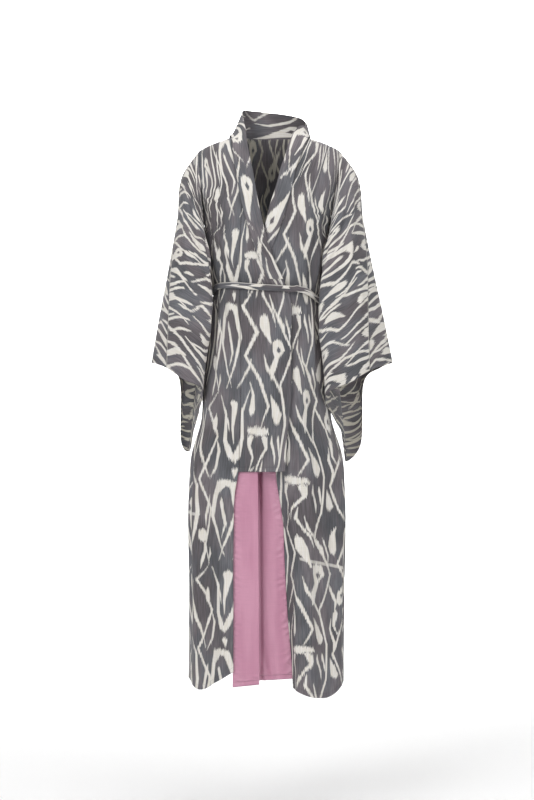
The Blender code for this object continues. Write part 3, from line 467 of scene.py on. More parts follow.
def shifted(rows: Array, amount: float) -> Array:
    """An edge table of z and x, its x moved by an amount."""
    return rows + np.array([0.0, amount])


def signed_power(value: Array | float, power: float) -> Array | float:
    """A power of a value's size, with the value's sign."""
    return np.sign(value) * np.abs(value) ** power


def unit(vectors: Array) -> Array:
    """Vectors brought to a length of 1."""
    return vectors / np.maximum(np.linalg.norm(vectors, axis=-1, keepdims=True), TINY)


def creases_at(table: tuple, around: Array, down: Array, turn: float, fades: tuple[Span, Span]) -> Array:
    """How far listed creases push the cloth outward.

    Args:
        table: Creases, each with its ends' places round and down the form, its width and its depth.
        around: Places round the form.
        down: Places down it.
        turn: A whole turn, in the measure of around.
        fades: Shares of a crease's length over which it grows, then dies away.

    Returns:
        Distances outward.
    """
    total = np.zeros(np.broadcast(around, down).shape)
    for around0, down0, around1, down1, width, depth in table:
        share = (down - down0) / (down1 - down0)
        away = (around - (around0 + (around1 - around0) * share) + turn / 2.0) % turn - turn / 2.0
        fade = smooth(*fades[0], share) * smooth(*fades[1], share)
        total = total + depth * fade * np.exp(-(away / width) ** 2)
    return total


@dataclass(frozen=True)
class RobeForm:
    """The body's form as it hangs on a wearer: rings by height, shoulder line, large folds and creases."""

    power: float = RING_POWER
    creased: bool = True

    def belt_z(self, angle: Array) -> Array:
        """Height of the belt's middle at an angle from the front."""
        return column(BELT_ROWS, np.degrees(angle))

    def belted(self, angle: Array, z: Array) -> Array:
        """Height to read the ring table at, shifted near the belt so that the waist follows it."""
        near = np.exp(-((z - BELT_MEAN_Z) / BELT_REACH) ** 2)
        return z - (self.belt_z(angle) - BELT_MEAN_Z) * near

    def folds(self, angle: Array, z: Array) -> Array:
        """How far folds and creases push the cloth outward.

        Args:
            angle: Angles from the front, in radians.
            z: Heights.

        Returns:
            Distances outward.
        """
        degrees = np.degrees(angle)
        total = np.zeros(np.broadcast(angle, z).shape)
        for at, spread, depth, top, lean in BODY_FOLDS:
            away = (degrees - (at + lean * (top - z)) + FULL_TURN / 2.0) % FULL_TURN - FULL_TURN / 2.0
            total = total + depth * smooth(top, top - FOLD_RUN, z) * np.exp(-(away / spread) ** 2)
        if self.creased:
            total = total + creases_at(BODY_CREASES, degrees, z, FULL_TURN, BODY_FADES)
        return total

    def shoulder_z(self, x: Array) -> Array:
        """Height of the shoulder line at x, a little further out on the left."""
        reach = np.abs(x) - LEFT_SHOULDER_SHIFT * (np.asarray(x) > 0.0)
        return column(SHOULDER_ROWS, reach)

    def armhole_x(self, side: int, z: Array) -> Array:
        """Where the armhole seam runs.

        Args:
            side: -1 right or +1 left.
            z: Heights.

        Returns:
            Places across.
        """
        x = column(ARMHOLE_ROWS, z)
        if side > 0:
            x = x + LEFT_SHOULDER_SHIFT * smooth(UNDERARM_Z, ARMHOLE_TOP_Z, z)
        return side * x

    def point(self, angle: Array, z: Array, inset: Array | float = 0.0) -> Array:
        """A point of the body's outer face.

        Args:
            angle: Angles from the front, in radians.
            z: Heights.
            inset: How far inside the outer face the cloth lies.

        Returns:
            Points, with a last axis of 3.
        """
        angle, z = np.asarray(angle, float), np.asarray(z, float)
        out = self.folds(angle, z) - inset
        height = self.belted(angle, z)
        half, front, back = (column(BODY_ROWS, height, index) + out for index in (1, 2, 3))
        s, c = (signed_power(share, 2.0 / self.power) for share in (np.sin(angle), np.cos(angle)))
        x = half * s
        y = -np.where(c > 0.0, front, back) * c
        reach = np.abs(x) - LEFT_SHOULDER_SHIFT * (x > 0.0)
        rise = np.where(c > 0.0, 0.0, np.interp(reach, NECK_RISE_ROWS[:, 0], NECK_RISE_ROWS[:, 1]))
        roundness = SHOULDER_ROUND * (NECK_ROUND + (1.0 - NECK_ROUND) * smooth(*NECK_TO_SHOULDER, reach))
        t = np.clip((self.shoulder_z(x) + rise - z) / roundness, 0.0, 1.0)
        edge = np.where(c > 0.0, FRONT_EDGE_SET, -BACK_EDGE_SET)
        y = y * np.sqrt(np.maximum(1.0 - (1.0 - t) ** 2, 0.0)) - edge
        return np.stack([x, y, z + 0.0 * x], -1)

    def angle_at(self, x: Array, z: Array, inset: Array | float = 0.0, back: bool = False) -> Array:
        """The angle from the front at which the body's face has a given x.

        Args:
            x: Wanted x.
            z: Heights.
            inset: How far inside the outer face the cloth lies.
            back: Whether the point is on the back.

        Returns:
            Angles in radians.
        """
        x = np.asarray(x, float)
        angle = np.sign(x) * FIRST_ANGLE
        for _ in range(ANGLE_ROUNDS):
            half = column(BODY_ROWS, self.belted(angle, z), 1) + self.folds(angle, z) - inset
            share = np.clip(np.abs(x) / half, 0.0, 1.0) ** (self.power / 2.0)
            angle = np.sign(x) * np.arcsin(share)
            if back:
                angle = np.sign(x) * math.pi - angle
        return angle

    def side_angle(self, side: int, z: Array, back: bool = False) -> Array:
        """Angle of a panel's side edge: the armhole above the underarm, the side seam below.

        Args:
            side: -1 right or +1 left.
            z: Heights.
            back: Whether the panel is the back.

        Returns:
            Angles in radians.
        """
        hole = self.angle_at(self.armhole_x(side, z), z, back=back)
        seam = math.pi / 2.0 + (SIDE_TURN if back else -SIDE_TURN)
        return np.where(z > UNDERARM_Z, hole, side * seam)


FORM = RobeForm()
PLAIN_FORM = RobeForm(creased=False)


def by_height(rule: Rule) -> Rule:
    """A rule worked out once at close heights, to be read back by height."""
    values = rule(HEIGHTS)
    return lambda z: np.interp(z, HEIGHTS, values)


class Edge(Enum):
    """What a panel's edge is: sewn to its neighbour, turned up and stitched, or only folded."""

    SEAM = "seam"
    HEM = "hem"
    FOLD = "fold"


@dataclass(frozen=True)
class Edges:
    """A panel's four edges, at the start and end of its two directions."""

    start: Edge = Edge.SEAM
    end: Edge = Edge.SEAM
    top: Edge = Edge.SEAM
    low: Edge = Edge.HEM


@dataclass(frozen=True)
class Cut:
    """How a panel lies on its cloth: its width, and where its pattern starts across and down the warp."""

    width: float
    across: float = 0.0
    down: float = 0.0
    mirrored: bool = False

    def places(self, share: Array, points: Array) -> Array:
        """Places on the cloth of points at shares of the way across, the warp running down the panel."""
        weft = (1.0 - share if self.mirrored else share) * self.width
        return np.stack([weft + self.across, self.down - points[..., 2]], -1)


def spread_of(points: Array, axis: int) -> Array:
    """Length along a grid of points from its first row.

    Args:
        points: A grid of points.
        axis: 0 along the first direction, 1 along the second.

    Returns:
        Length at each point.
    """
    steps = np.linalg.norm(np.diff(points, axis=axis), axis=-1)
    pad = [(0, 0), (0, 0)]
    pad[axis] = (1, 0)
    return np.cumsum(np.pad(steps, pad), axis=axis)


def edge_distance(across: Array, down: Array, edges: Edges, kind: Edge) -> Array:
    """Distance of each grid point from the nearest edge of one kind.

    Args:
        across: Length across the grid from its start.
        down: Length down the grid from its top.
        edges: What the four edges are.
        kind: The kind of edge looked for.

    Returns:
        Distances, capped at FAR.
    """
    near = np.full(across.shape, FAR)
    distances = across, across[-1:] - across, down, down[:, -1:] - down
    for edge, distance in zip((edges.start, edges.end, edges.top, edges.low), distances):
        if edge is kind:
            near = np.minimum(near, distance)
    return near


def shares_of(across: int, down: int) -> tuple[Array, Array]:
    """A grid's shares of the way across and down.

    Args:
        across: How many faces it has across.
        down: How many faces it has down.

    Returns:
        Both shares at each of its points.
    """
    u = np.linspace(0.0, 1.0, across + 1)[:, None] + np.zeros(down + 1)
    v = np.linspace(0.0, 1.0, down + 1)[None, :] + np.zeros(across + 1)[:, None]
    return u, v


def deselect() -> None:
    """Leaves object mode with nothing selected."""
    if bpy.context.object is not None and bpy.context.object.mode != "OBJECT":
        bpy.ops.object.mode_set(mode="OBJECT")
    bpy.ops.object.select_all(action="DESELECT")


def primitive(name: str) -> Object:
    """Names the primitive just added as a piece, with its places on the cloth.

    Args:
        name: The piece's name.

    Returns:
        The piece.
    """
    item = bpy.context.object
    item.name = name
    item.data.name = name
    item.data.uv_layers[0].name = CLOTH_MAP
    return item


def hold(item: Object, name: str, values: Array) -> None:
    """Writes a number for each of a piece's points under a name."""
    layer = item.data.attributes.new(name, "FLOAT", "POINT")
    layer.data.foreach_set("value", values.astype(np.float32).ravel())


def edit_all(*steps: Callable[[], object]) -> None:
    """Takes steps in edit mode on the whole mesh.

    Args:
        steps: What is done to it, in order.
    """
    bpy.ops.object.mode_set(mode="EDIT")
    bpy.ops.mesh.select_all(action="SELECT")
    for step in steps:
        step()
    bpy.ops.object.mode_set(mode="OBJECT")


def apply_modifier(item: Object, kind: str, **settings: object) -> None:
    """Adds a modifier and applies it.

    Args:
        item: The object.
        kind: The modifier's type.
        settings: The modifier's own settings.
    """
    deselect()
    bpy.context.view_layer.objects.active = item
    item.select_set(True)
    modifier = item.modifiers.new(kind.lower(), kind)
    for key, value in settings.items():
        setattr(modifier, key, value)
    bpy.ops.object.modifier_apply(modifier=modifier.name)


@dataclass(frozen=True)
class Grid:
    """A flat grid as a start, and the column and row of each of its points."""

    item: Object
    columns: Array
    rows: Array

    @classmethod
    def start(cls, name: str, across: int, down: int) -> "Grid":
        """Adds the grid.

        Args:
            name: The piece's name.
            across: How many faces it has across.
            down: How many faces it has down.

        Returns:
            The grid with its places.
        """
        deselect()
        bpy.ops.mesh.primitive_grid_add(x_subdivisions=across, y_subdivisions=down, size=2.0, calc_uvs=True)
        item = primitive(name)
        flat = np.empty(len(item.data.vertices) * 3)
        item.data.vertices.foreach_get("co", flat)
        flat = flat.reshape(-1, 3)
        columns = np.rint((flat[:, 0] + 1.0) / 2.0 * across).astype(int)
        rows = np.rint((1.0 - flat[:, 1]) / 2.0 * down).astype(int)
        return cls(item, columns, rows)

    def move(self, points: Array) -> None:
        """Moves the grid's points to their places."""
        places = points[self.columns, self.rows].astype(np.float32)
        self.item.data.vertices.foreach_set("co", places.ravel())

    def map_cloth(self, places: Array) -> None:
        """Writes places on the cloth into the piece's UV map.

        Args:
            places: Places, in metres across and down the warp.
        """
        corner = np.empty(len(self.item.data.loops), dtype=np.int32)
        self.item.data.loops.foreach_get("vertex_index", corner)
        flat = places[self.columns, self.rows][corner].astype(np.float32)
        self.item.data.uv_layers[0].uv.foreach_set("vector", flat.ravel())

    def write(self, name: str, values: Array) -> None:
        """Writes a number for each point under a name."""
        hold(self.item, name, values[self.columns, self.rows])


def area_of(item: Object) -> float:
    """Area of one face of a thin shell, half of its whole surface."""
    return sum(face.area for face in item.data.polygons) / 2.0


def settle(item: Object, node: str) -> None:
    """Gives a piece its body, and hides the imported part of the node that it stands for.

    Args:
        item: The piece.
        node: The node.
    """
    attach(item, BODY)
    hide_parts(node)


@dataclass(frozen=True)
class Sheet:
    """One thin cloth shell for a node: a grid of points on a form, with its flat cut and its edges.

    The size is of the rectangle that its cut fits in.
    """

    node: str
    surface: Surface
    across: int
    down: int
    size: Span
    rests_on: tuple[str, ...]
    held: str = "hung"
    flip: bool = False
    thickness: float = CLOTH
    edges: Edges = Edges()
    cut: Cut | None = None
    laid: Callable[[Array, Array, Array], Array] | None = None
    lined: Surface | None = None

    def build(self, *materials: Material) -> None:
        """Makes the shell.

        Args:
            materials: Outer face, then inner face; one material serves both.
        """
        grid = Grid.start(f"{self.node}_cloth", self.across, self.down)
        u, v = shares_of(self.across, self.down)
        points = self.surface(u, v)
        across, down = spread_of(points, 0), spread_of(points, 1)
        grid.move(points)
        grid.map_cloth(self.laid(points, across, down) if self.laid else self.cut.places(u, points))
        for kind in (Edge.SEAM, Edge.HEM):
            grid.write(kind.value, edge_distance(across, down, self.edges, kind))
        if self.lined:
            grid.write(LIGHT_LINE, self.lined(points, across))
        if self.flip:
            edit_all(bpy.ops.mesh.flip_normals)
        item = grid.item
        for material in materials:
            item.data.materials.append(material)
        apply_modifier(item, "SOLIDIFY", thickness=self.thickness, offset=-1.0, use_rim=True,
                       material_offset=len(materials) - 1, material_offset_rim=0)
        bpy.ops.object.shade_smooth_by_angle(angle=SMOOTH_ANGLE)
        settle(item, self.node)
        area = min(area_of(item), self.size[0] * self.size[1])
        list(self.rests_on)
        faces = len(item.data.polygons)
        LOG.info("%s: %d faces, cut %.3f x %.3f m, %.3f m2", item.name, faces, *self.size, area)


def light_line(ends: Ends, reach: float = 0.010) -> Surface:
    """A light line woven across the warp.

    Args:
        ends: x and z of one end, then of the other.
        reach: Distance over which closeness to the line falls to nothing.

    Returns:
        A rule that gives each point's closeness to the line, from 0 to 1.
    """
    x0, z0, x1, z1 = ends

    def closeness(points: Array, across: Array) -> Array:
        """How close each point is to the line.

        Args:
            points: A grid of points.
            across: Lengths across it, not needed here.

        Returns:
            Values from 0 to 1.
        """
        share = (points[..., 0] - x0) / (x1 - x0)
        away = np.abs(points[..., 2] - (z0 + (z1 - z0) * share))
        inside = (share > 0.0) & (share < 1.0)
        return np.where(inside, np.clip(1.0 - away / reach, 0.0, 1.0), 0.0)

    return closeness


def linear(*screen: int) -> Triple:
    """A screen colour, three numbers from 0 to 255, as scene-linear light."""
    shares = [value / 255.0 for value in screen]
    return tuple(share / 12.92 if share <= 0.04045 else ((share + 0.055) / 1.055) ** 2.4 for share in shares)


@dataclass
class Wiring:
    """Short calls that add nodes to one tree and join them."""

    tree: Tree

    def add(self, kind: str, inputs: dict[str | int, object] | None = None, **settings: object) -> Node:
        """Adds a node.

        Args:
            kind: The node's type, without its ShaderNode prefix.
            inputs: Values or sockets for its inputs, by name or number.
            settings: The node's own settings.

        Returns:
            The node.
        """
        node = self.tree.nodes.new("ShaderNode" + kind)
        node.location = (180.0 * (len(self.tree.nodes) % 24), -220.0 * (len(self.tree.nodes) // 24))
        for key, value in settings.items():
            setattr(node, key, value)
        self.fill(node, inputs or {})
        return node

    def fill(self, node: Node, inputs: dict[str | int, object]) -> None:
        """Sets a node's inputs, by name or number."""
        for key, value in inputs.items():
            self.feed(node.inputs[key], value)

    def feed(self, socket: Socket, value: object) -> None:
        """Sets an input, or joins it to another socket.

        Args:
            socket: The input.
            value: Its value, or the socket that feeds it.
        """
        if isinstance(value, Socket):
            self.tree.links.new(value, socket)
        else:
            socket.default_value = value

    def math(self, operation: str, *values: Value) -> Socket:
        """One of Blender's sums on one to three values."""
        return self.add("Math", dict(enumerate(values)), operation=operation).outputs[0]

    def plus(self, *values: Value) -> Socket:
        """The sum of two values."""
        return self.math("ADD", *values)

    def times(self, *values: Value) -> Socket:
        """The product of two values."""
        return self.math("MULTIPLY", *values)

    def scaled(self, value: Value, scale: Value, shift: Value) -> Socket:
        """A value scaled, then shifted."""
        return self.math("MULTIPLY_ADD", value, scale, shift)

    def held(self, name: str) -> Socket:
        """The number that a piece holds at each point under a name."""
        return self.add("Attribute", attribute_name=name).outputs["Fac"]

    def step(self, value: Value, low: float, high: float, start: float = 0.0, end: float = 1.0) -> Socket:
        """A soft step between a start and an end value, read between two places."""
        inputs = {0: value, 1: low, 2: high, 3: start, 4: end}
        return self.add("MapRange", inputs, interpolation_type="SMOOTHSTEP").outputs[0]

    def noise(self, place: Socket, across: float, down: float, detail: float = 0.0,
              offset: float = 0.0) -> Socket:
        """Noise on the cloth.

        Args:
            place: Places on the cloth.
            across: Its rate of change across the warp, a metre.
            down: Its rate of change down the warp, a metre.
            detail: Finer layers of it.
            offset: Shift that sets it apart from other noises.

        Returns:
            Values from 0 to 1.
        """
        scaled = self.add("Mapping", {"Vector": place, "Location": (offset, offset, 0.0),
                                      "Scale": (across, down, 1.0)})
        return self.add("TexNoise", {"Vector": scaled.outputs[0], "Scale": 1.0, "Detail": detail},
                        noise_dimensions="2D").outputs["Fac"]

    def blend(self, share: Value, first: object, second: object, kind: str = "MIX") -> Socket:
        """A mix of two colours.

        Args:
            share: How much of the second.
            first: A colour or socket.
            second: A colour or socket.
            kind: How they are mixed.

        Returns:
            The colour's socket.
        """
        node = self.add("Mix", {0: share}, data_type="RGBA", blend_type=kind)
        for socket, value in ((node.inputs[6], first), (node.inputs[7], second)):
            self.feed(socket, (*value, 1.0) if isinstance(value, tuple) else value)
        return node.outputs[2]

    def dimmed(self, colour: Socket, level: Socket) -> Socket:
        """A colour with its brightness multiplied by a level."""
        grey = self.add("CombineColor", {0: level, 1: level, 2: level}).outputs[0]
        return self.blend(1.0, colour, grey, "MULTIPLY")


@dataclass
class GroupWiring(Wiring):
    """The wiring of a shader group, with its input and output nodes."""

    entry: Node
    leave: Node

    @classmethod
    def start(cls, name: str, inputs: tuple[str, ...], outputs: tuple[str, ...]) -> "GroupWiring":
        """Starts a group with named sockets.

        Args:
            name: The group's name.
            inputs: Names of its inputs, all numbers but the first, a place on the cloth.
            outputs: Names of its outputs, all numbers.

        Returns:
            Its wiring.
        """
        tree = bpy.data.node_groups.new(name, "ShaderNodeTree")
        for socket in inputs:
            kind = "Vector" if socket == inputs[0] else "Float"
            tree.interface.new_socket(name=socket, in_out="INPUT", socket_type="NodeSocket" + kind)
        for socket in outputs:
            tree.interface.new_socket(name=socket, in_out="OUTPUT", socket_type="NodeSocketFloat")
        return cls(tree, tree.nodes.new("NodeGroupInput"), tree.nodes.new("NodeGroupOutput"))


@dataclass(frozen=True)
class Figure:
    """One charted figure: a stretch of warp with a middle and a half width all along it."""

    rows: Array

    @classmethod
    def charted(cls, chart: tuple) -> list["Figure"]:
        """Figures of a chart, those over the repeat's end cut in two there.

        Args:
            chart: Rows of down, across and half width for each figure.

        Returns:
            The figures in the order in which they start.
        """
        out = []
        for rows in (np.array(figure, float) for figure in chart):
            rows[:, 0] -= REPEAT_LONG * math.floor(rows[0, 0] / REPEAT_LONG)
            over = rows[:, 0] > REPEAT_LONG
            if over.any():
                turn = int(np.argmax(over))
                before, after = rows[turn - 1], rows[turn]
                cut = before + (after - before) * (REPEAT_LONG - before[0]) / (after[0] - before[0])
                later = np.vstack([cut, rows[turn:]])
                later[:, 0] -= REPEAT_LONG
                out.append(cls(later))
                rows = np.vstack([rows[:turn], cut]) if before[0] < REPEAT_LONG else rows[:turn]
            out.append(cls(rows))
        return sorted(out, key=lambda figure: figure.rows[0, 0])

    def follows(self, other: "Figure") -> bool:
        """Whether it starts clear after another ends, so that both can share a lane."""
        return bool(self.rows[0, 0] - other.rows[-1, 0] > LANE_GAP)


@dataclass
class Lane:
    """Figures that follow one another down the repeat, held by one pair of curves."""

    figures: list[Figure] = field(default_factory=list)

    @classmethod
    def sorted_from(cls, figures: list[Figure]) -> list["Lane"]:
        """Puts each figure in the first lane that has room.

        Args:
            figures: Figures in the order in which they start.

        Returns:
            The lanes.
        """
        lanes: list[Lane] = []
        for figure in figures:
            free = next((lane for lane in lanes if figure.follows(lane.figures[-1])), None)
            if free is None:
                free = cls()
                lanes.append(free)
            free.figures.append(figure)
        return lanes

    def points(self) -> tuple[list[Span], list[Span]]:
        """The points of its two curves.

        Returns:
            The middle's and the half width's, as shares of each curve's range.
        """
        middle, half = [], []
        for figure in self.figures:
            down = figure.rows[:, 0] / REPEAT_LONG
            half.append((down[0] - LANE_STEP, 0.0))
            half.append((down[-1] + LANE_STEP, 0.0))
            middle += list(zip(down, (figure.rows[:, 1] - MIDDLE_LOW) / MIDDLE_SPAN))
            half += list(zip(down, (figure.rows[:, 2] - HALF_LOW) / HALF_SPAN))
        return middle, sorted(half)

    def curve(self, wiring: Wiring, along: Socket, points: list[Span], scale: float, low: float) -> Socket:
        """One curve of straight lines read along the repeat.

        Args:
            wiring: Where its nodes go.
            along: Share of the way down the repeat.
            points: The curve's points.
            scale: Metres for its whole range.
            low: Its lowest value, in metres.

        Returns:
            Its value in metres.
        """
        node = wiring.add("FloatCurve", {1: along})
        line = node.mapping.curves[0]
        inner = [point for point in points if 0.0 <= point[0] <= 1.0]
        while len(line.points) < len(inner):
            line.points.new(0.5, 0.5)
        for point, place in zip(line.points, inner):
            point.location = place
            point.handle_type = "VECTOR"
        node.mapping.update()
        return wiring.scaled(node.outputs[0], scale, low)

    def depth(self, wiring: Wiring, across: Socket, along: Socket) -> Socket:
        """How deep a place lies inside the lane's figures, negative outside them.

        Args:
            wiring: Where its nodes go.
            across: Metres across the warp.
            along: Share of the way down the repeat.

        Returns:
            The depth in metres.
        """
        middle, half = self.points()
        centre = self.curve(wiring, along, middle, MIDDLE_SPAN * CHART_ACROSS, MIDDLE_LOW * CHART_ACROSS)
        reach = self.curve(wiring, along, half, HALF_SPAN * CHART_ACROSS, HALF_LOW * CHART_ACROSS)
        away = wiring.math("SUBTRACT", across, centre)
        side = REPEAT_WIDE * CHART_ACROSS / 2.0
        wrapped = wiring.math("WRAP", away, side, -side)
        return wiring.math("SUBTRACT", reach, wiring.math("ABSOLUTE", wrapped))


@dataclass(frozen=True)
class IkatFigures:
    """The charted repeat as a shader group: dyed threads that feather its figures down the warp."""

    drift: float = 0.010
    sway: float = 0.014
    fine_threads: float = 1300.0
    fine_spread: float = 3.2
    coarse_threads: float = 330.0
    coarse_spread: float = 1.3
    softness: float = 0.0009

    def build(self) -> Tree:
        """Makes the group.

        Returns:
            The group.
        """
        wiring = GroupWiring.start("ikat_figures", ("Place", "Feather", "Fullness"),
                                   ("Figures", "Ground", "Threads"))
        place = wiring.entry.outputs["Place"]
        fine = wiring.noise(place, self.fine_threads, 9.0, offset=3.1)
        coarse = wiring.noise(place, self.coarse_threads, 14.0, offset=7.7)
        spread = wiring.plus(wiring.scaled(fine, self.fine_spread, -self.fine_spread / 2.0),
                             wiring.scaled(coarse, self.coarse_spread, -self.coarse_spread / 2.0))
        wander = wiring.noise(place, 7.0, 5.0, offset=11.3)
        roam = wiring.noise(place, 6.0, 4.0, offset=23.9)
        split = wiring.add("SeparateXYZ", {0: place})
        across = wiring.plus(split.outputs[0], wiring.scaled(wander, 2.0 * self.drift, -self.drift))
        down = wiring.plus(split.outputs[1], wiring.scaled(roam, 2.0 * self.sway, -self.sway))
        down = wiring.scaled(spread, wiring.entry.outputs["Feather"], down)
        along = wiring.math("FRACT", wiring.math("DIVIDE", down, REPEAT_LONG * CHART_DOWN))
        shape = wiring.plus(self.deepest(wiring, FIGURES, across, along), wiring.entry.outputs["Fullness"])
        hearts = self.deepest(wiring, HEARTS, across, along)
        shape = wiring.math("MINIMUM", shape, wiring.times(hearts, -1.0))
        patches = wiring.noise(place, 12.0, 7.0, detail=2.0, offset=41.0)
        streaks = wiring.noise(place, 260.0, 7.0, detail=1.0, offset=53.0)
        ground = wiring.plus(patches, wiring.scaled(streaks, 0.3, -0.15))
        wiring.fill(wiring.leave, {
            "Figures": wiring.step(shape, -self.softness, self.softness),
            "Ground": wiring.step(ground, 0.34, 0.66),
            "Threads": wiring.noise(place, 520.0, 22.0, detail=2.0, offset=61.0)})
        return wiring.tree

    def deepest(self, wiring: Wiring, chart: tuple, across: Socket, along: Socket) -> Socket:
        """The greatest depth among a chart's lanes.

        Args:
            wiring: Where its nodes go.
            chart: The figures' rows.
            across: Metres across the warp.
            along: Share of the way down the repeat.

        Returns:
            The depth in metres.
        """
        depths = [lane.depth(wiring, across, along) for lane in Lane.sorted_from(Figure.charted(chart))]
        most = depths[0]
        for depth in depths[1:]:
            most = wiring.math("MAXIMUM", most, depth)
        return most


@dataclass(frozen=True)
class Weave:
    """A plain weave with slubs as a shader group: its height, and a tone for its threads."""

    slub_long: float = 24.0
    tone_share: float = 0.5

    def build(self) -> Tree:
        """Makes the group.

        Returns:
            The group.
        """
        wiring = GroupWiring.start("plain_weave", ("Place", "Threads", "Slubs"), ("Height", "Tone"))
        place, threads, thickness = (wiring.entry.outputs[name] for name in ("Place", "Threads", "Slubs"))
        split = wiring.add("SeparateXYZ", {0: place})
        turns = [wiring.times(split.outputs[index], threads) for index in (0, 1)]
        waves = [wiring.math("SINE", wiring.times(turn, math.pi)) for turn in turns]
        warp = wiring.noise(place, 640.0, self.slub_long, detail=2.0, offset=71.0)
        weft = wiring.noise(place, 20.0, 480.0, detail=2.0, offset=83.0)
        both = wiring.plus(warp, weft)
        wiring.fill(wiring.leave, {
            "Height": wiring.scaled(wiring.times(*waves), 0.5, wiring.times(both, thickness)),
            "Tone": wiring.times(both, self.tone_share)})
        return wiring.tree


@dataclass(frozen=True)
class Stitching:
    """Seams and stitched hems as a shader group, from each point's distance to such an edge, with painted
    shade where the cloth rolls into them and in the stitches' groove.
    """

    seam_roll: float = 0.0022
    line_half: float = 0.0005
    line_soft: float = 2.2
    pitch: float = 330.0
    stitch_sink: float = -0.8
    # Painted shade on the sunk stitches, and where the cloth rolls into a seam or hem
    stitch_shade: float = -0.22
    hem_rise: float = 0.35
    seam_shade: float = 0.30

    def build(self) -> Tree:
        """Makes the group.

        Returns:
            The group.
        """
        wiring = GroupWiring.start("stitching", ("Place", "Seam", "Hem", "Set in"), ("Height", "Shade"))
        place, seam, hem, set_in = (wiring.entry.outputs[name] for name in ("Place", "Seam", "Hem", "Set in"))
        roll = wiring.math("MINIMUM", *(wiring.step(edge, 0.0, self.seam_roll) for edge in (seam, hem)))
        away = wiring.math("ABSOLUTE", wiring.math("SUBTRACT", hem, set_in))
        line = wiring.step(away, self.line_half, self.line_soft * self.line_half, 1.0, 0.0)
        split = wiring.add("SeparateXYZ", {0: place})
        path = wiring.plus(split.outputs[0], split.outputs[1])
        dash = wiring.step(wiring.math("FRACT", wiring.times(path, self.pitch)), 0.25, 0.45)
        stitch = wiring.times(line, dash)
        turned = wiring.step(hem, 0.0, set_in, self.hem_rise, 0.0)
        # Painted shade: the cloth is darkened where it rolls into a seam or hem, and the stitches sunk into
        # the hem are darkened too.
        dark = wiring.scaled(roll, self.seam_shade, 1.0 - self.seam_shade)
        wiring.fill(wiring.leave, {
            "Height": wiring.plus(wiring.plus(roll, wiring.times(stitch, self.stitch_sink)), turned),
            "Shade": wiring.scaled(stitch, self.stitch_shade, dark)})
        return wiring.tree


@dataclass
class Groups:
    """The shader groups that the finishes share."""

    figures: Tree
    weave: Tree
    stitching: Tree

    @classmethod
    def made(cls) -> "Groups":
        """Makes all of them."""
        return cls(IkatFigures().build(), Weave().build(), Stitching().build())


@dataclass(frozen=True)
class Finish:
    """What every cloth finish shares: its weave, its stitching and how they are raised."""

    name: str
    roughness: float = 0.85
    roughness_range: float = 0.07
    tone_range: Span = (0.93, 1.05)
    sheen: float = 0.12
    sheen_roughness: float = 0.5
    threads: float = 1500.0
    slubs: float = 0.35
    weave_height: float = 0.00012
    stitch_height: float = 0.0006
    hem_set_in: float = 0.011

    def build(self, groups: Groups) -> Material:
        """Makes the material.

        Args:
            groups: The shared groups.

        Returns:
            The material.
        """
        material = bpy.data.materials.new(self.name)
        material.use_nodes = True
        wiring = Wiring(material.node_tree)
        shader = material.node_tree.nodes["Principled BSDF"]
        place = wiring.add("UVMap", uv_map=CLOTH_MAP).outputs[0]
        tone, shade, normal = self.raised(wiring, groups, place)
        # The weave's thread tone times the stitching's painted shade at seams, hems and stitches.
        weave_tone_and_painted_shade = wiring.times(wiring.step(tone, *WEAVE_TONES, *self.tone_range), shade)
        rough = [self.roughness + side * self.roughness_range for side in (-1.0, 1.0)]
        wiring.fill(shader, {
            "Sheen Weight": self.sheen, "Sheen Roughness": self.sheen_roughness,
            "Base Color": wiring.dimmed(self.colour(wiring, groups, place), weave_tone_and_painted_shade),
            "Roughness": wiring.step(tone, *WEAVE_TONES, *rough),
            "Normal": self.surface(wiring, place, normal)})
        return material

    def colour(self, wiring: Wiring, groups: Groups, place: Socket) -> Socket:
        """The cloth's colour; each finish has its own."""
        raise NotImplementedError

    def surface(self, wiring: Wiring, place: Socket, normal: Socket) -> Socket:
        """The normal of woven and stitched cloth, as it is."""
        return normal

    def raised(self, wiring: Wiring, groups: Groups, place: Socket) -> tuple[Socket, Socket, Socket]:
        """Weave and stitching on a place of the cloth.

        Args:
            wiring: Where the nodes go.
            groups: The shared groups.
            place: Places on the cloth.

        Returns:
            The weave's tone, the stitching's shade and the bumped normal.
        """
        weave = wiring.add("Group", {"Place": place, "Threads": self.threads, "Slubs": self.slubs},
                           node_tree=groups.weave)
        edges = {"Seam": wiring.held(Edge.SEAM.value), "Hem": wiring.held(Edge.HEM.value)}
        stitching = wiring.add("Group", {"Place": place, "Set in": self.hem_set_in} | edges,
                               node_tree=groups.stitching)
        coarse = wiring.add("Bump", {"Strength": 0.8, "Distance": self.stitch_height,
                                     "Height": stitching.outputs["Height"]})
        fine = wiring.add("Bump", {"Strength": 0.7, "Distance": self.weave_height,
                                   "Height": weave.outputs["Height"], "Normal": coarse.outputs[0]})
        return weave.outputs["Tone"], stitching.outputs["Shade"], fine.outputs[0]


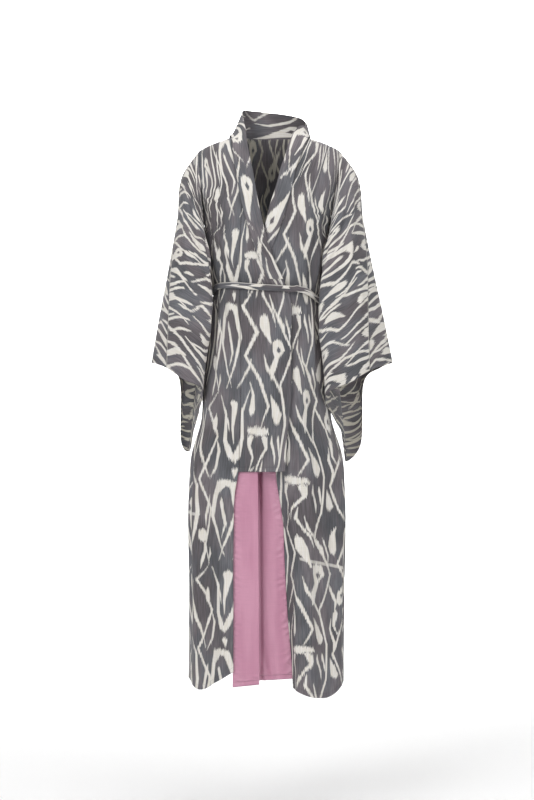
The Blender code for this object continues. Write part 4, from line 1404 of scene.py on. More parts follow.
@dataclass(frozen=True)
class IkatCloth(Finish):
    """Cream figures on a ground that drifts from plum grey to slate grey."""

    cream: Triple = linear(222, 219, 215)
    cream_deep: Triple = linear(213, 208, 198)
    plum: Triple = linear(106, 100, 104)
    slate: Triple = linear(95, 96, 101)
    feather: float = 0.0044
    fullness: float = 0.0
    line_strength: float = 0.68
    thread_levels: Span = (0.80, 1.16)
    dusk_levels: Span = (0.72, 1.12)

    def colour(self, wiring: Wiring, groups: Groups, place: Socket) -> Socket:
        """The figures' light threads on the ground's dark ones.

        Args:
            wiring: Where the nodes go.
            groups: The shared groups.
            place: Places on the cloth.

        Returns:
            The colour.
        """
        inputs = {"Place": place, "Feather": self.feather, "Fullness": self.fullness}
        figures = wiring.add("Group", inputs, node_tree=groups.figures)
        threads = figures.outputs["Threads"]
        ground = wiring.blend(figures.outputs["Ground"], self.plum, self.slate)
        ground = wiring.dimmed(ground, wiring.step(threads, 0.35, 0.70, *self.thread_levels))
        dusk = wiring.noise(place, 11.0, 6.0, detail=2.0, offset=97.0)
        ground = wiring.dimmed(ground, wiring.step(dusk, 0.36, 0.62, *self.dusk_levels))
        light = wiring.blend(wiring.step(threads, 0.35, 0.68), self.cream_deep, self.cream)
        line = wiring.step(wiring.held(LIGHT_LINE), 0.48, 0.80, 0.0, self.line_strength)
        return wiring.blend(wiring.math("MAXIMUM", figures.outputs["Figures"], line), ground, light)


@dataclass(frozen=True)
class PinkSatin(Finish):
    """Smooth pink satin with soft puckers, lighter where it turns to the light."""

    pink: Triple = linear(197, 142, 165)
    rose: Triple = linear(186, 129, 153)
    pucker_height: float = 0.0045
    pucker_reach: Span = (0.002, 0.024)
    pucker_levels: Span = (1.0, 0.10)
    hem_share: float = 0.5

    def colour(self, wiring: Wiring, groups: Groups, place: Socket) -> Socket:
        """Pink that drifts to rose."""
        drift = wiring.noise(place, 30.0, 4.0, detail=2.0, offset=5.0)
        return wiring.blend(wiring.step(drift, 0.3, 0.7), self.rose, self.pink)

    def surface(self, wiring: Wiring, place: Socket, normal: Socket) -> Socket:
        """The normal with puckers beside seams and hems.

        Args:
            wiring: Where the nodes go.
            place: Places on the cloth.
            normal: The normal of woven and stitched cloth.

        Returns:
            The new normal.
        """
        puckers = wiring.noise(place, 46.0, 110.0, detail=1.0, offset=9.0)
        seam, hem = (wiring.held(edge.value) for edge in (Edge.SEAM, Edge.HEM))
        near = wiring.math("MINIMUM", seam, wiring.times(hem, self.hem_share))
        strength = wiring.step(near, *self.pucker_reach, *self.pucker_levels)
        return wiring.add("Bump", {"Strength": 1.0, "Distance": self.pucker_height, "Normal": normal,
                                   "Height": wiring.times(puckers, strength)}).outputs[0]


@dataclass
class Cloths:
    """The robe's finishes."""

    face: Material
    sleeve: Material
    reverse: Material
    tie: Material
    satin: Material

    @classmethod
    def made(cls) -> "Cloths":
        """Makes them all.

        Returns:
            The finishes.
        """
        groups = Groups.made()
        face = IkatCloth("ikat_cloth").build(groups)
        sleeve = IkatCloth("ikat_sleeve_cloth", fullness=0.0012).build(groups)
        reverse = IkatCloth("ikat_cloth_reverse", cream=linear(200, 196, 186),
                            cream_deep=linear(190, 185, 170), plum=linear(112, 106, 110),
                            slate=linear(101, 102, 107), roughness=0.9, feather=0.0056).build(groups)
        tie = IkatCloth("ikat_tie", threads=1700.0, stitch_height=0.0004, feather=0.0030).build(groups)
        satin = PinkSatin("pink_satin", roughness=0.40, roughness_range=0.04, tone_range=(0.96, 1.04),
                          sheen=0.15, threads=3200.0, slubs=0.12, weave_height=0.00004,
                          stitch_height=0.0007).build(groups)
        return cls(face, sleeve, reverse, tie, satin)


@dataclass
class BodyPanels:
    """Back and both fronts, from the shoulder line to the long hem."""

    left_inset: float = 0.0095
    inset_start: float = 0.112
    inset_full: float = 0.045
    return_depth: float = 0.020
    return_share: float = 0.26
    neck_right: float = -0.0862
    neck_left: float = 0.1020
    neck_share: float = 5.0 / 22.0
    neck_top_z: float = 0.001
    pinned_z: Span = (-0.22, -0.02)
    back_hem_side_z: float = -1.327
    back_hem_middle_z: float = -1.298
    return_z: Span = (-0.72, -0.86)
    line_right: Ends = (-0.200, -0.917, -0.161, -0.921)
    line_left: Ends = (0.078, -1.023, 0.185, -1.050)

    def inset_of(self, x: Array) -> Array:
        """How deep the left side's layers lie, growing toward the overlap."""
        return self.left_inset * smooth(self.inset_start, self.inset_full, x)

    def return_of(self, z: Array) -> Array:
        """How deep the left front's edge turns in, from the short hem down."""
        return self.return_depth * smooth(*self.return_z, z)

    def between(self, u: Array, v: Array, place: Surface, start: Rule, end: Rule) -> Array:
        """Points between a top and a hem that are given along x.

        Args:
            u: Shares of the way across.
            v: Shares of the way down.
            place: Points at a share across and a height.
            start: The top's height at x.
            end: The hem's height at x.

        Returns:
            Points.
        """
        share = u[:, :1]
        top = np.full(share.shape, TOP_START_Z)
        hem = np.full(share.shape, HEM_START_Z)
        for _ in range(EDGE_ROUNDS):
            top = start(place(share, top)[..., 0])
            hem = end(place(share, hem)[..., 0])
        return place(u, top + (hem - top) * v)

    def right(self, u: Array, v: Array) -> Array:
        """The right front, from its side edge to its front edge.

        Args:
            u: Shares of the way across.
            v: Shares of the way down.

        Returns:
            Points.
        """
        side = by_height(lambda z: FORM.side_angle(-1, z))
        edge = by_height(lambda z: FORM.angle_at(column(FRONT_EDGE_RIGHT, z) - SEAM_GAP, z))

        def place(share: Array, z: Array) -> Array:
            """Points at a share across and a height."""
            return FORM.point(side(z) + (edge(z) - side(z)) * share, z)

        return self.between(u, v, place, FORM.shoulder_z, lambda x: column(HEM_RIGHT, x))

    def left(self, u: Array, v: Array) -> Array:
        """The left front, from its side edge over the fold to its front edge, which turns in.

        Args:
            u: Shares of the way across.
            v: Shares of the way down.

        Returns:
            Points.
        """
        side = by_height(lambda z: FORM.side_angle(1, z))
        fold = by_height(lambda z: FORM.angle_at(column(TURN_LEFT, z), z))
        edge = by_height(lambda z: FORM.angle_at(column(FRONT_EDGE_LEFT, z) + SEAM_GAP, z))

        def place(share: Array, z: Array) -> Array:
            """The panel's outer face.

            Args:
                share: Shares of the way across.
                z: Heights.

            Returns:
                Points.
            """
            first = np.clip(share / (1.0 - self.return_share), None, 1.0)
            rest = np.clip((share - 1.0) / self.return_share + 1.0, 0.0, None)
            start, turn, end = side(z), fold(z), edge(z)
            angle = start + (turn - start) * first + (end - turn) * rest
            x = FORM.point(angle, z)[..., 0]
            depth = self.inset_of(x) + self.return_of(z) * smooth(0.0, 1.0, rest)
            angle = np.where(x < self.inset_start, FORM.angle_at(x, z, depth), angle)
            return FORM.point(angle, z, depth)

        return self.between(u, v, place, FORM.shoulder_z, lambda x: column(HEM_LEFT, x))

    def back(self, u: Array, v: Array) -> Array:
        """The back, from its right side edge to its left one.

        Args:
            u: Shares of the way across.
            v: Shares of the way down.

        Returns:
            Points.
        """
        turn = 2.0 * math.pi
        right = by_height(lambda z: turn + FORM.side_angle(-1, z, back=True))
        left = by_height(lambda z: FORM.side_angle(1, z, back=True))
        neck_right = by_height(lambda z: turn + FORM.angle_at(0.0 * z + self.neck_right, z, back=True))
        neck_left = by_height(lambda z: FORM.angle_at(0.0 * z + self.neck_left, z, back=True))

        def place(share: Array, z: Array) -> Array:
            """The panel's outer face.

            Args:
                share: Shares of the way across.
                z: Heights.

            Returns:
                Points.
            """
            stops = right(z), neck_right(z), neck_left(z), left(z)
            even = stops[0] + (stops[3] - stops[0]) * share
            part = self.neck_share
            lows = (0.0, part, 1.0 - part)
            wides = (part, 1.0 - 2.0 * part, part)
            pinned = stops[0] + sum(np.clip((share - low) / wide, 0.0, 1.0) * (after - before)
                                    for low, wide, before, after in zip(lows, wides, stops, stops[1:]))
            angle = even + (pinned - even) * smooth(*self.pinned_z, z)
            return FORM.point((angle + math.pi) % turn - math.pi, z)

        def top(x: Array) -> Array:
            """The top's height, level inside the neck."""
            inside = (x > self.neck_right + 1e-4) & (x < self.neck_left - 1e-4)
            return np.where(inside, self.neck_top_z, FORM.shoulder_z(x))

        rise = self.back_hem_middle_z - self.back_hem_side_z
        hem = self.back_hem_side_z + rise * np.sin(math.pi * u[:, :1]) ** 2
        return self.between(u, v, place, top, lambda x: hem)

    def build(self, cloths: Cloths) -> None:
        """Args:
            cloths: The finishes.
        """
        Sheet("back", self.back, 176, 270, (0.62, 1.35), ("collar_band_cloth",), flip=True,
              cut=Cut(0.56, across=0.09, down=0.12)).build(cloths.face, cloths.reverse)
        Sheet("front_right", self.right, 84, 270, (0.20, 1.36), ("back_cloth",),
              cut=Cut(0.165, across=0.05, down=0.02), lined=light_line(self.line_right)
              ).build(cloths.face, cloths.reverse)
        Sheet("front_left", self.left, 108, 270, (0.25, 1.38), ("back_cloth",), flip=True,
              cut=Cut(0.235, across=0.20, down=0.31, mirrored=True), lined=light_line(self.line_left)
              ).build(cloths.face, cloths.reverse)


PANELS = BodyPanels()


@dataclass(frozen=True)
class Strip:
    """A strip of the front between two edges that are given by x at each height."""

    first: Array
    last: Array
    top: float
    hem: float
    inset: Surface
    slant: float = 0.0

    def surface(self, u: Array, v: Array) -> Array:
        """Points from the first edge to the last and from the top to the hem.

        Args:
            u: Shares of the way across.
            v: Shares of the way down.

        Returns:
            Points.
        """
        z = self.top + (self.hem - self.top) * v + self.slant * u * v
        x = column(self.first, z) + (column(self.last, z) - column(self.first, z)) * u
        depth = self.inset(x, z)
        return FORM.point(FORM.angle_at(x, z, depth), z, depth)


@dataclass
class OverlapPanels:
    """The narrow panel on each front's open edge, with its short straight hem."""

    right_top_z: float = -0.172
    right_hem_z: float = -0.8167
    left_top_z: float = -0.200
    left_hem_z: float = -0.806

    def build(self, cloths: Cloths) -> None:
        """Makes both panels.

        Args:
            cloths: The finishes.
        """
        right = Strip(shifted(FRONT_EDGE_RIGHT, SEAM_GAP / 2.0), shifted(FREE_EDGE_RIGHT, -TUCK),
                      self.right_top_z, self.right_hem_z, lambda x, z: 0.0 * x)
        Sheet("overlap_right", right.surface, 44, 170, (0.135, 0.66), ("front_right_cloth",),
              edges=Edges(end=Edge.HEM), cut=Cut(0.125, across=0.215, down=0.02)
              ).build(cloths.face, cloths.reverse)
        left = Strip(shifted(FREE_EDGE_LEFT, TUCK), shifted(FRONT_EDGE_LEFT, -SEAM_GAP / 2.0),
                     self.left_top_z, self.left_hem_z, lambda x, z: PANELS.inset_of(x) + PANELS.return_of(z))
        Sheet("overlap_left", left.surface, 24, 120, (0.11, 0.62), ("front_left_cloth",),
              edges=Edges(start=Edge.HEM), cut=Cut(0.10, across=0.02, down=0.31)
              ).build(cloths.face, cloths.reverse)


@dataclass
class SatinStrips:
    """The pink satin at both open edges, seen below the short hem."""

    top_z: float = -0.420
    layer: float = 0.00225
    layer_drop: float = 0.004
    right_hem_z: float = -1.3284
    right_slant: float = 0.0074
    left_hem_z: float = -1.3164
    left_slant: float = 0.005
    groove: float = 0.0032
    groove_more: float = 0.010
    groove_half: float = 0.0042
    groove_z: Span = (-0.79, -0.82)
    groove_more_z: Span = (-0.94, -0.82)
    drop_z: Span = (-0.70, -0.86)
    open_z: Span = (-0.82, -0.86)
    pucker_depth: float = 0.0020
    pucker_stray: tuple[Span, ...] = ((1.6, 0.37), (0.4, 0.23))
    pucker_lean: float = 1.3
    right_seam_share: float = 0.5
    seam_pucker: Span = (0.007, 0.021)
    hem_pucker: Span = (0.022, 0.034)

    def puckers(self, away: Array, along: Array, size: Span) -> Array:
        """Small uneven ridges that run out from a stitched edge.

        Args:
            away: Distances from the edge.
            along: Places along it.
            size: How far out they are highest, and their pitch.

        Returns:
            Distances inward.
        """
        reach, pitch = size
        turn = 2.0 * math.pi * along / pitch
        (stray, stray_rate), (swell, swell_rate) = self.pucker_stray
        wave = np.sin(turn + stray * np.sin(stray_rate * turn) + self.pucker_lean * away / reach)
        wave = wave * (1.0 - swell + swell * np.sin(swell_rate * turn + 1.0))
        share = np.maximum(away, 0.0) / reach
        return self.pucker_depth * wave * share * np.exp(1.0 - share)

    def left_depth(self, x: Array, z: Array) -> Array:
        """How deep the left strip lies, deepest in a groove beside the right strip's free edge.

        Args:
            x: Places across.
            z: Heights.

        Returns:
            Depths inside the outer face.
        """
        away = (x - column(SATIN_RIGHT_EDGE, z) - self.groove_half) / self.groove_half
        groove = self.groove + self.groove_more * smooth(*self.groove_more_z, z)
        groove = groove * smooth(*self.groove_z, z)
        depth = PANELS.left_inset + self.layer + PANELS.return_of(z) + groove * np.exp(-away ** 2)
        shown = smooth(*self.open_z, z)
        sewn = self.puckers(column(FRONT_EDGE_LEFT, z) - x, z, self.seam_pucker) * shown
        return depth + sewn + self.puckers(z - self.left_hem_z, x, self.hem_pucker) * shown

    def right_depth(self, x: Array, z: Array) -> Array:
        """How deep the right strip lies, puckered at its seam and hem.

        Args:
            x: Places across.
            z: Heights.

        Returns:
            Depths inside the outer face.
        """
        depth = self.layer + self.layer_drop * smooth(*self.drop_z, z)
        shown = smooth(*self.open_z, z)
        sewn = self.puckers(x - column(FRONT_EDGE_RIGHT, z), z, self.seam_pucker) * shown
        hemmed = self.puckers(z - self.right_hem_z, x, self.hem_pucker) * shown
        return depth + self.right_seam_share * sewn + hemmed

    def build(self, satin: Material) -> None:
        """Makes both strips.

        Args:
            satin: The satin.
        """
        right = Strip(shifted(FRONT_EDGE_RIGHT, -TUCK), SATIN_RIGHT_EDGE, self.top_z, self.right_hem_z,
                      self.right_depth, self.right_slant)
        Sheet("satin_right", right.surface, 30, 300, (0.066, 0.93), ("overlap_right_cloth",),
              edges=Edges(end=Edge.FOLD), cut=Cut(0.062)).build(satin)
        left = Strip(SATIN_LEFT_EDGE, shifted(FRONT_EDGE_LEFT, TUCK), self.top_z, self.left_hem_z,
                     self.left_depth, self.left_slant)
        Sheet("satin_left", left.surface, 50, 300, (0.12, 0.92), ("overlap_left_cloth",),
              edges=Edges(start=Edge.FOLD), cut=Cut(0.115, across=0.4)).build(satin)


@dataclass
class CollarBand:
    """One band round the neck and down both opening edges."""

    out: float = 0.0012
    lift: float = 0.0025
    lift_z: Span = (-0.12, -0.04)
    bow: float = 0.0022
    end_z: float = -0.358
    neck_z: float = -0.030
    steps: int = 12
    thickness: float = 0.0014
    cloth_start: Span = (0.07, 0.13)

    def path(self) -> Array:
        """The band's two edges, from its right end round the neck to its left end.

        Returns:
            Seam point and free edge point at each step.
        """
        rows = []
        sides = ((-1, COLLAR_SEAM_RIGHT, FREE_EDGE_RIGHT), (1, COLLAR_SEAM_LEFT, FREE_EDGE_LEFT))
        for side, seam, edge in sides:
            z = np.linspace(self.end_z, self.neck_z, self.steps)
            pair = []
            for table in (seam, edge):
                x = column(table, z)
                depth = PANELS.inset_of(x) if side > 0 else 0.0 * x
                depth = depth - (PART_CLOTH + self.out + self.lift * smooth(*self.lift_z, z))
                pair.append(FORM.point(FORM.angle_at(x, z, depth), z, depth))
            rows.append(np.concatenate(pair, axis=-1))
        return np.concatenate([rows[0], NECK_ROWS, rows[1][::-1]])

    def surface(self, u: Array, v: Array) -> Array:
        """The band's outer face.

        Args:
            u: Shares of the way along.
            v: Shares of the way from the seam to the free edge.

        Returns:
            Points.
        """
        path = self.path()
        middle = (path[:, :3] + path[:, 3:]) / 2.0
        length = np.concatenate([[0.0], np.cumsum(np.linalg.norm(np.diff(middle, axis=0), axis=1))])
        at = hermite(length / length[-1], path, u)
        seam, edge = at[..., :3], at[..., 3:]
        v = np.asarray(v)[..., None]
        flat = seam + (edge - seam) * v
        outward = unit(flat * np.array([1.0, 1.0, 0.0]))
        return flat + outward * 4.0 * v * (1.0 - v) * self.bow

    def laid(self, points: Array, across: Array, down: Array) -> Array:
        """The band on its cloth, the warp along its length."""
        return np.stack([down + self.cloth_start[0], across + self.cloth_start[1]], -1)

    def build(self, cloth: Material) -> None:
        """Args:
            cloth: The patterned cloth, on both faces.
        """
        Sheet("collar_band", self.surface, 300, 16, (0.055, 1.06), ("back_cloth", "front_right_cloth"),
              "folded", thickness=self.thickness, laid=self.laid,
              edges=Edges(Edge.FOLD, Edge.FOLD, Edge.SEAM, Edge.FOLD)).build(cloth)


# Sleeve rings from the armhole to the cuff, for the wearer's right, with x as a distance from the middle
RING_STOPS = np.array([0.0, 0.12, 0.24, 0.37, 0.50, 0.63, 0.72, 0.82, 0.91])
SLEEVE_STOPS = np.array([0.0, 0.10, 0.30, 0.55, 0.80, 1.0])
SLEEVE_ROWS = np.array([
    # over,                 outer front,            front,                  inner front,            inner,
    # under seam,           tail back,              back,                   outer back
    [[0.165, 0.0, -0.04], [0.161, -0.048, -0.095], [0.1575, -0.052, -0.145], [0.1545, -0.038, -0.2],
     [0.153, -0.018, -0.235], [0.1525, 0.0, -0.253], [0.153, 0.026, -0.225], [0.1545, 0.044, -0.17],
     [0.161, 0.046, -0.095]],
    [[0.203, 0.0, -0.092], [0.19, -0.054, -0.125], [0.174, -0.07, -0.175], [0.153, -0.066, -0.222],
     [0.154, -0.022, -0.262], [0.157, 0.014, -0.283], [0.167, 0.044, -0.25], [0.179, 0.062, -0.195],
     [0.194, 0.054, -0.125]],
    [[0.219, -0.002, -0.205], [0.206, -0.062, -0.215], [0.18, -0.085, -0.265], [0.1375, -0.082, -0.312],
     [0.153, -0.01, -0.35], [0.163, 0.048, -0.38], [0.177, 0.08, -0.342], [0.193, 0.086, -0.275],
     [0.211, 0.058, -0.218]],
    [[0.24, -0.01, -0.33], [0.224, -0.074, -0.34], [0.187, -0.097, -0.385], [0.132, -0.091, -0.422],
     [0.152, 0.012, -0.48], [0.17, 0.092, -0.53], [0.19, 0.114, -0.48], [0.206, 0.104, -0.395],
     [0.229, 0.058, -0.344]],
    [[0.262, -0.016, -0.45], [0.24, -0.08, -0.46], [0.193, -0.101, -0.495], [0.1465, -0.092, -0.53],
     [0.166, 0.028, -0.6], [0.184, 0.128, -0.665], [0.204, 0.134, -0.612], [0.214, 0.114, -0.505],
     [0.24, 0.058, -0.462]],
    [[0.2805, -0.02, -0.556], [0.2455, -0.075, -0.567], [0.2, -0.095, -0.597], [0.154, -0.085, -0.627],
     [0.18, 0.046, -0.722], [0.198, 0.15, -0.776], [0.217, 0.147, -0.748], [0.219, 0.118, -0.598],
     [0.25, 0.06, -0.563]],
])
# How the left cuff differs at each place round it, growing from nothing at the armhole
LEFT_CUFF = np.array([
    # outward, up
    [0.0255, 0.0], [0.006, -0.006], [0.005, -0.004], [-0.015, -0.014], [0.01, -0.016],
    [0.003, -0.025], [0.02, -0.007], [0.024, -0.004], [0.029, -0.004],
])
# Creases of a sleeve, from one end to the other: places round it and down it, width round it, depth out
SLEEVE_CREASES = (
    # w0,  t0,   w1,   t1,  width, depth
    (0.18, 0.06, 0.34, 0.42, 0.020, -0.0058),
    (0.25, 0.05, 0.42, 0.34, 0.018, 0.0050),
    (0.12, 0.10, 0.26, 0.62, 0.022, 0.0052),
    (0.30, 0.12, 0.44, 0.50, 0.018, -0.0056),
    (0.22, 0.22, 0.38, 0.60, 0.016, 0.0040),
    (0.20, 0.40, 0.33, 0.92, 0.022, -0.0052),
    (0.30, 0.34, 0.41, 0.74, 0.016, -0.0040),
    (0.34, 0.46, 0.42, 0.96, 0.020, 0.0052),
    (0.14, 0.52, 0.22, 0.98, 0.022, 0.0040),
    (0.27, 0.66, 0.34, 1.05, 0.018, 0.0042),
    (0.39, 0.70, 0.43, 1.05, 0.016, -0.0040),
    (0.47, 0.30, 0.50, 0.90, 0.022, -0.0040),
    (0.56, 0.40, 0.57, 1.00, 0.020, 0.0036),
    (0.72, 0.20, 0.70, 0.80, 0.024, -0.0054),
    (0.80, 0.10, 0.78, 0.60, 0.022, 0.0052),
    (0.88, 0.12, 0.86, 0.90, 0.024, -0.0050),
    (0.95, 0.30, 0.93, 1.00, 0.022, 0.0046),
)


@dataclass
class Sleeve:
    """One wide open sleeve, its front and back half sewn over the arm and under it."""

    side: int = -1
    over_seam: float = 0.045
    under_seam: float = 0.63
    over_gap: float = 0.001
    under_gap: float = 0.002
    hole_blend: float = 0.14
    seam_set: float = 0.0004
    over_drift: float = 0.085
    over_drift_span: Span = (0.30, 0.85)
    falls: Span = (-0.58, -0.48)
    gather: float = 1.15
    fall_start: float = 0.3
    line_reach: float = 0.006
    seam_shift: float = 0.17
    cloth_start: Span = (0.06, 0.27)
    over_start: float = 0.1
    crease_start: float = 0.12
    front_faces: int = 100
    back_faces: int = 72
    length: float = 0.60
    front_width: float = 0.46
    back_width: float = 0.48

    @property
    def word(self) -> str:
        """Which of the wearer's sides the sleeve is on."""
        return "right" if self.side < 0 else "left"

    def rows(self) -> Array:
        """The ring table for this side.

        Returns:
            x, y and z at each place round each ring.
        """
        rows = SLEEVE_ROWS.copy()
        if self.side > 0:
            share = SLEEVE_STOPS[:, None]
            shift = LEFT_SHOULDER_SHIFT * smooth(UNDERARM_Z, ARMHOLE_TOP_Z, rows[0, :, 2])[None]
            rows[..., 0] += shift * (1.0 - share) + share * LEFT_CUFF[:, 0]
            rows[..., 2] += share * LEFT_CUFF[:, 1]
        return rows

    def ring(self, w: Array, t: Array) -> Array:
        """Points of the sleeve before its creases.

        Args:
            w: Places round the ring.
            t: Places from the armhole to the cuff, the same in every column.

        Returns:
            A grid of points.
        """
        rows = self.rows()
        wide = np.concatenate([RING_STOPS[-3:] - 1.0, RING_STOPS, RING_STOPS[:3] + 1.0])
        around = np.concatenate([rows[:, -3:], rows, rows[:, :3]], axis=1)
        weights_w = hermite(wide, np.eye(len(wide)), w % 1.0)
        weights_t = hermite(SLEEVE_STOPS, np.eye(len(SLEEVE_STOPS)), t[0])
        rings = np.einsum("bj,jic->bic", weights_t, around)
        out = np.einsum("abi,bic->abc", weights_w, rings)
        start = np.einsum("ai,ic->ac", weights_w[:, 0], around[0])[:, None]
        flip = np.array([self.side, 1.0, 1.0])
        blend = (1.0 - smooth(0.0, self.hole_blend, t))[..., None]
        return out * flip + (self.hole(w[:, 0] % 1.0)[:, None] - start * flip) * blend

    def hole(self, w: Array) -> Array:
        """The armhole seam.

        Args:
            w: Places round the first ring.

        Returns:
            Points.
        """
        top = float(FORM.shoulder_z(FORM.armhole_x(self.side, np.array(ARMHOLE_TOP_Z))))
        share = np.where(w < self.under_seam, w / self.under_seam, (1.0 - w) / (1.0 - self.under_seam))
        z = top - (top - UNDERARM_Z) * (1.0 - np.cos(math.pi * share)) / 2.0
        x = FORM.armhole_x(self.side, z)
        front = FORM.point(FORM.angle_at(x, z), z)
        back = FORM.point(FORM.angle_at(x, z, back=True), z)
        point = np.where((w < self.under_seam)[:, None], front, back)
        point[:, 0] += self.side * (SEAM_GAP + self.seam_set)
        return point

    def creased(self, points: Array, w: Array, t: Array) -> Array:
        """The points moved out and in by the sleeve's creases.

        Args:
            points: A grid of points.
            w: Places round the ring.
            t: Places down the sleeve.

        Returns:
            New points.
        """
        normal = unit(np.cross(np.gradient(points, axis=0), np.gradient(points, axis=1)) * self.side)
        total = creases_at(SLEEVE_CREASES, w, t, 1.0, SLEEVE_FADES)
        return points + normal * (total * smooth(0.0, self.crease_start, t))[..., None]

    def build_half(self, half: str, first: float, last: float, across: int, cut_width: float,
                   cloths: Cloths) -> None:
        """Makes one half.

        Args:
            half: Its name, front or back.
            first: Place round the ring where it starts.
            last: Place where it ends.
            across: How many faces it has across.
            cut_width: Width of its cut.
            cloths: The finishes.
        """
        front = half == "front"

        def surface(u: Array, v: Array) -> Array:
            """The half's outer face.

            Args:
                u: Shares of the way across.
                v: Shares of the way down.

            Returns:
                Points.
            """
            drift = self.over_drift * smooth(*self.over_drift_span, v) * (1.0 - u if front else u)
            w = first + (last - first) * u + drift
            return self.creased(self.ring(w, v), w, v)

        def laid(points: Array, over: Array, down: Array) -> Array:
            """The half on its cloth, the warp round the arm.

            Args:
                points: A grid of points, not used here.
                over: Lengths across it.
                down: Lengths down it.

            Returns:
                Places on the cloth.
            """
            reach = over if front else over - over[-1:]
            share = down / down[:, -1:]
            fall = self.falls[0] + (self.falls[1] - self.falls[0]) * share
            fall = fall * smooth(0.0, self.fall_start, share)
            start = self.cloth_start[self.side > 0] + (0.0 if front else self.seam_shift)
            return np.stack([(down - fall * np.abs(reach)) * self.gather + start,
                             reach + self.over_start + start], -1)

        def lined(points: Array, over: Array) -> Array:
            """The light edge along the front half's seam over the arm."""
            reach = over if front else over[-1:] - over
            return np.clip(1.0 - reach / self.line_reach, 0.0, 1.0) * (1.0 if front else 0.0)

        Sheet(f"sleeve_{half}_{self.word}", surface, across, 110, (cut_width, self.length),
              (f"front_{self.word}_cloth",), flip=self.side > 0, laid=laid, lined=lined
              ).build(cloths.sleeve, cloths.reverse)

    def build(self, cloths: Cloths) -> None:
        """Makes both halves.

        Args:
            cloths: The finishes.
        """
        self.build_half("front", self.over_seam + self.over_gap, self.under_seam - self.under_gap,
                        self.front_faces, self.front_width, cloths)
        self.build_half("back", self.under_seam + self.under_gap, 1.0 + self.over_seam - self.over_gap,
                        self.back_faces, self.back_width, cloths)


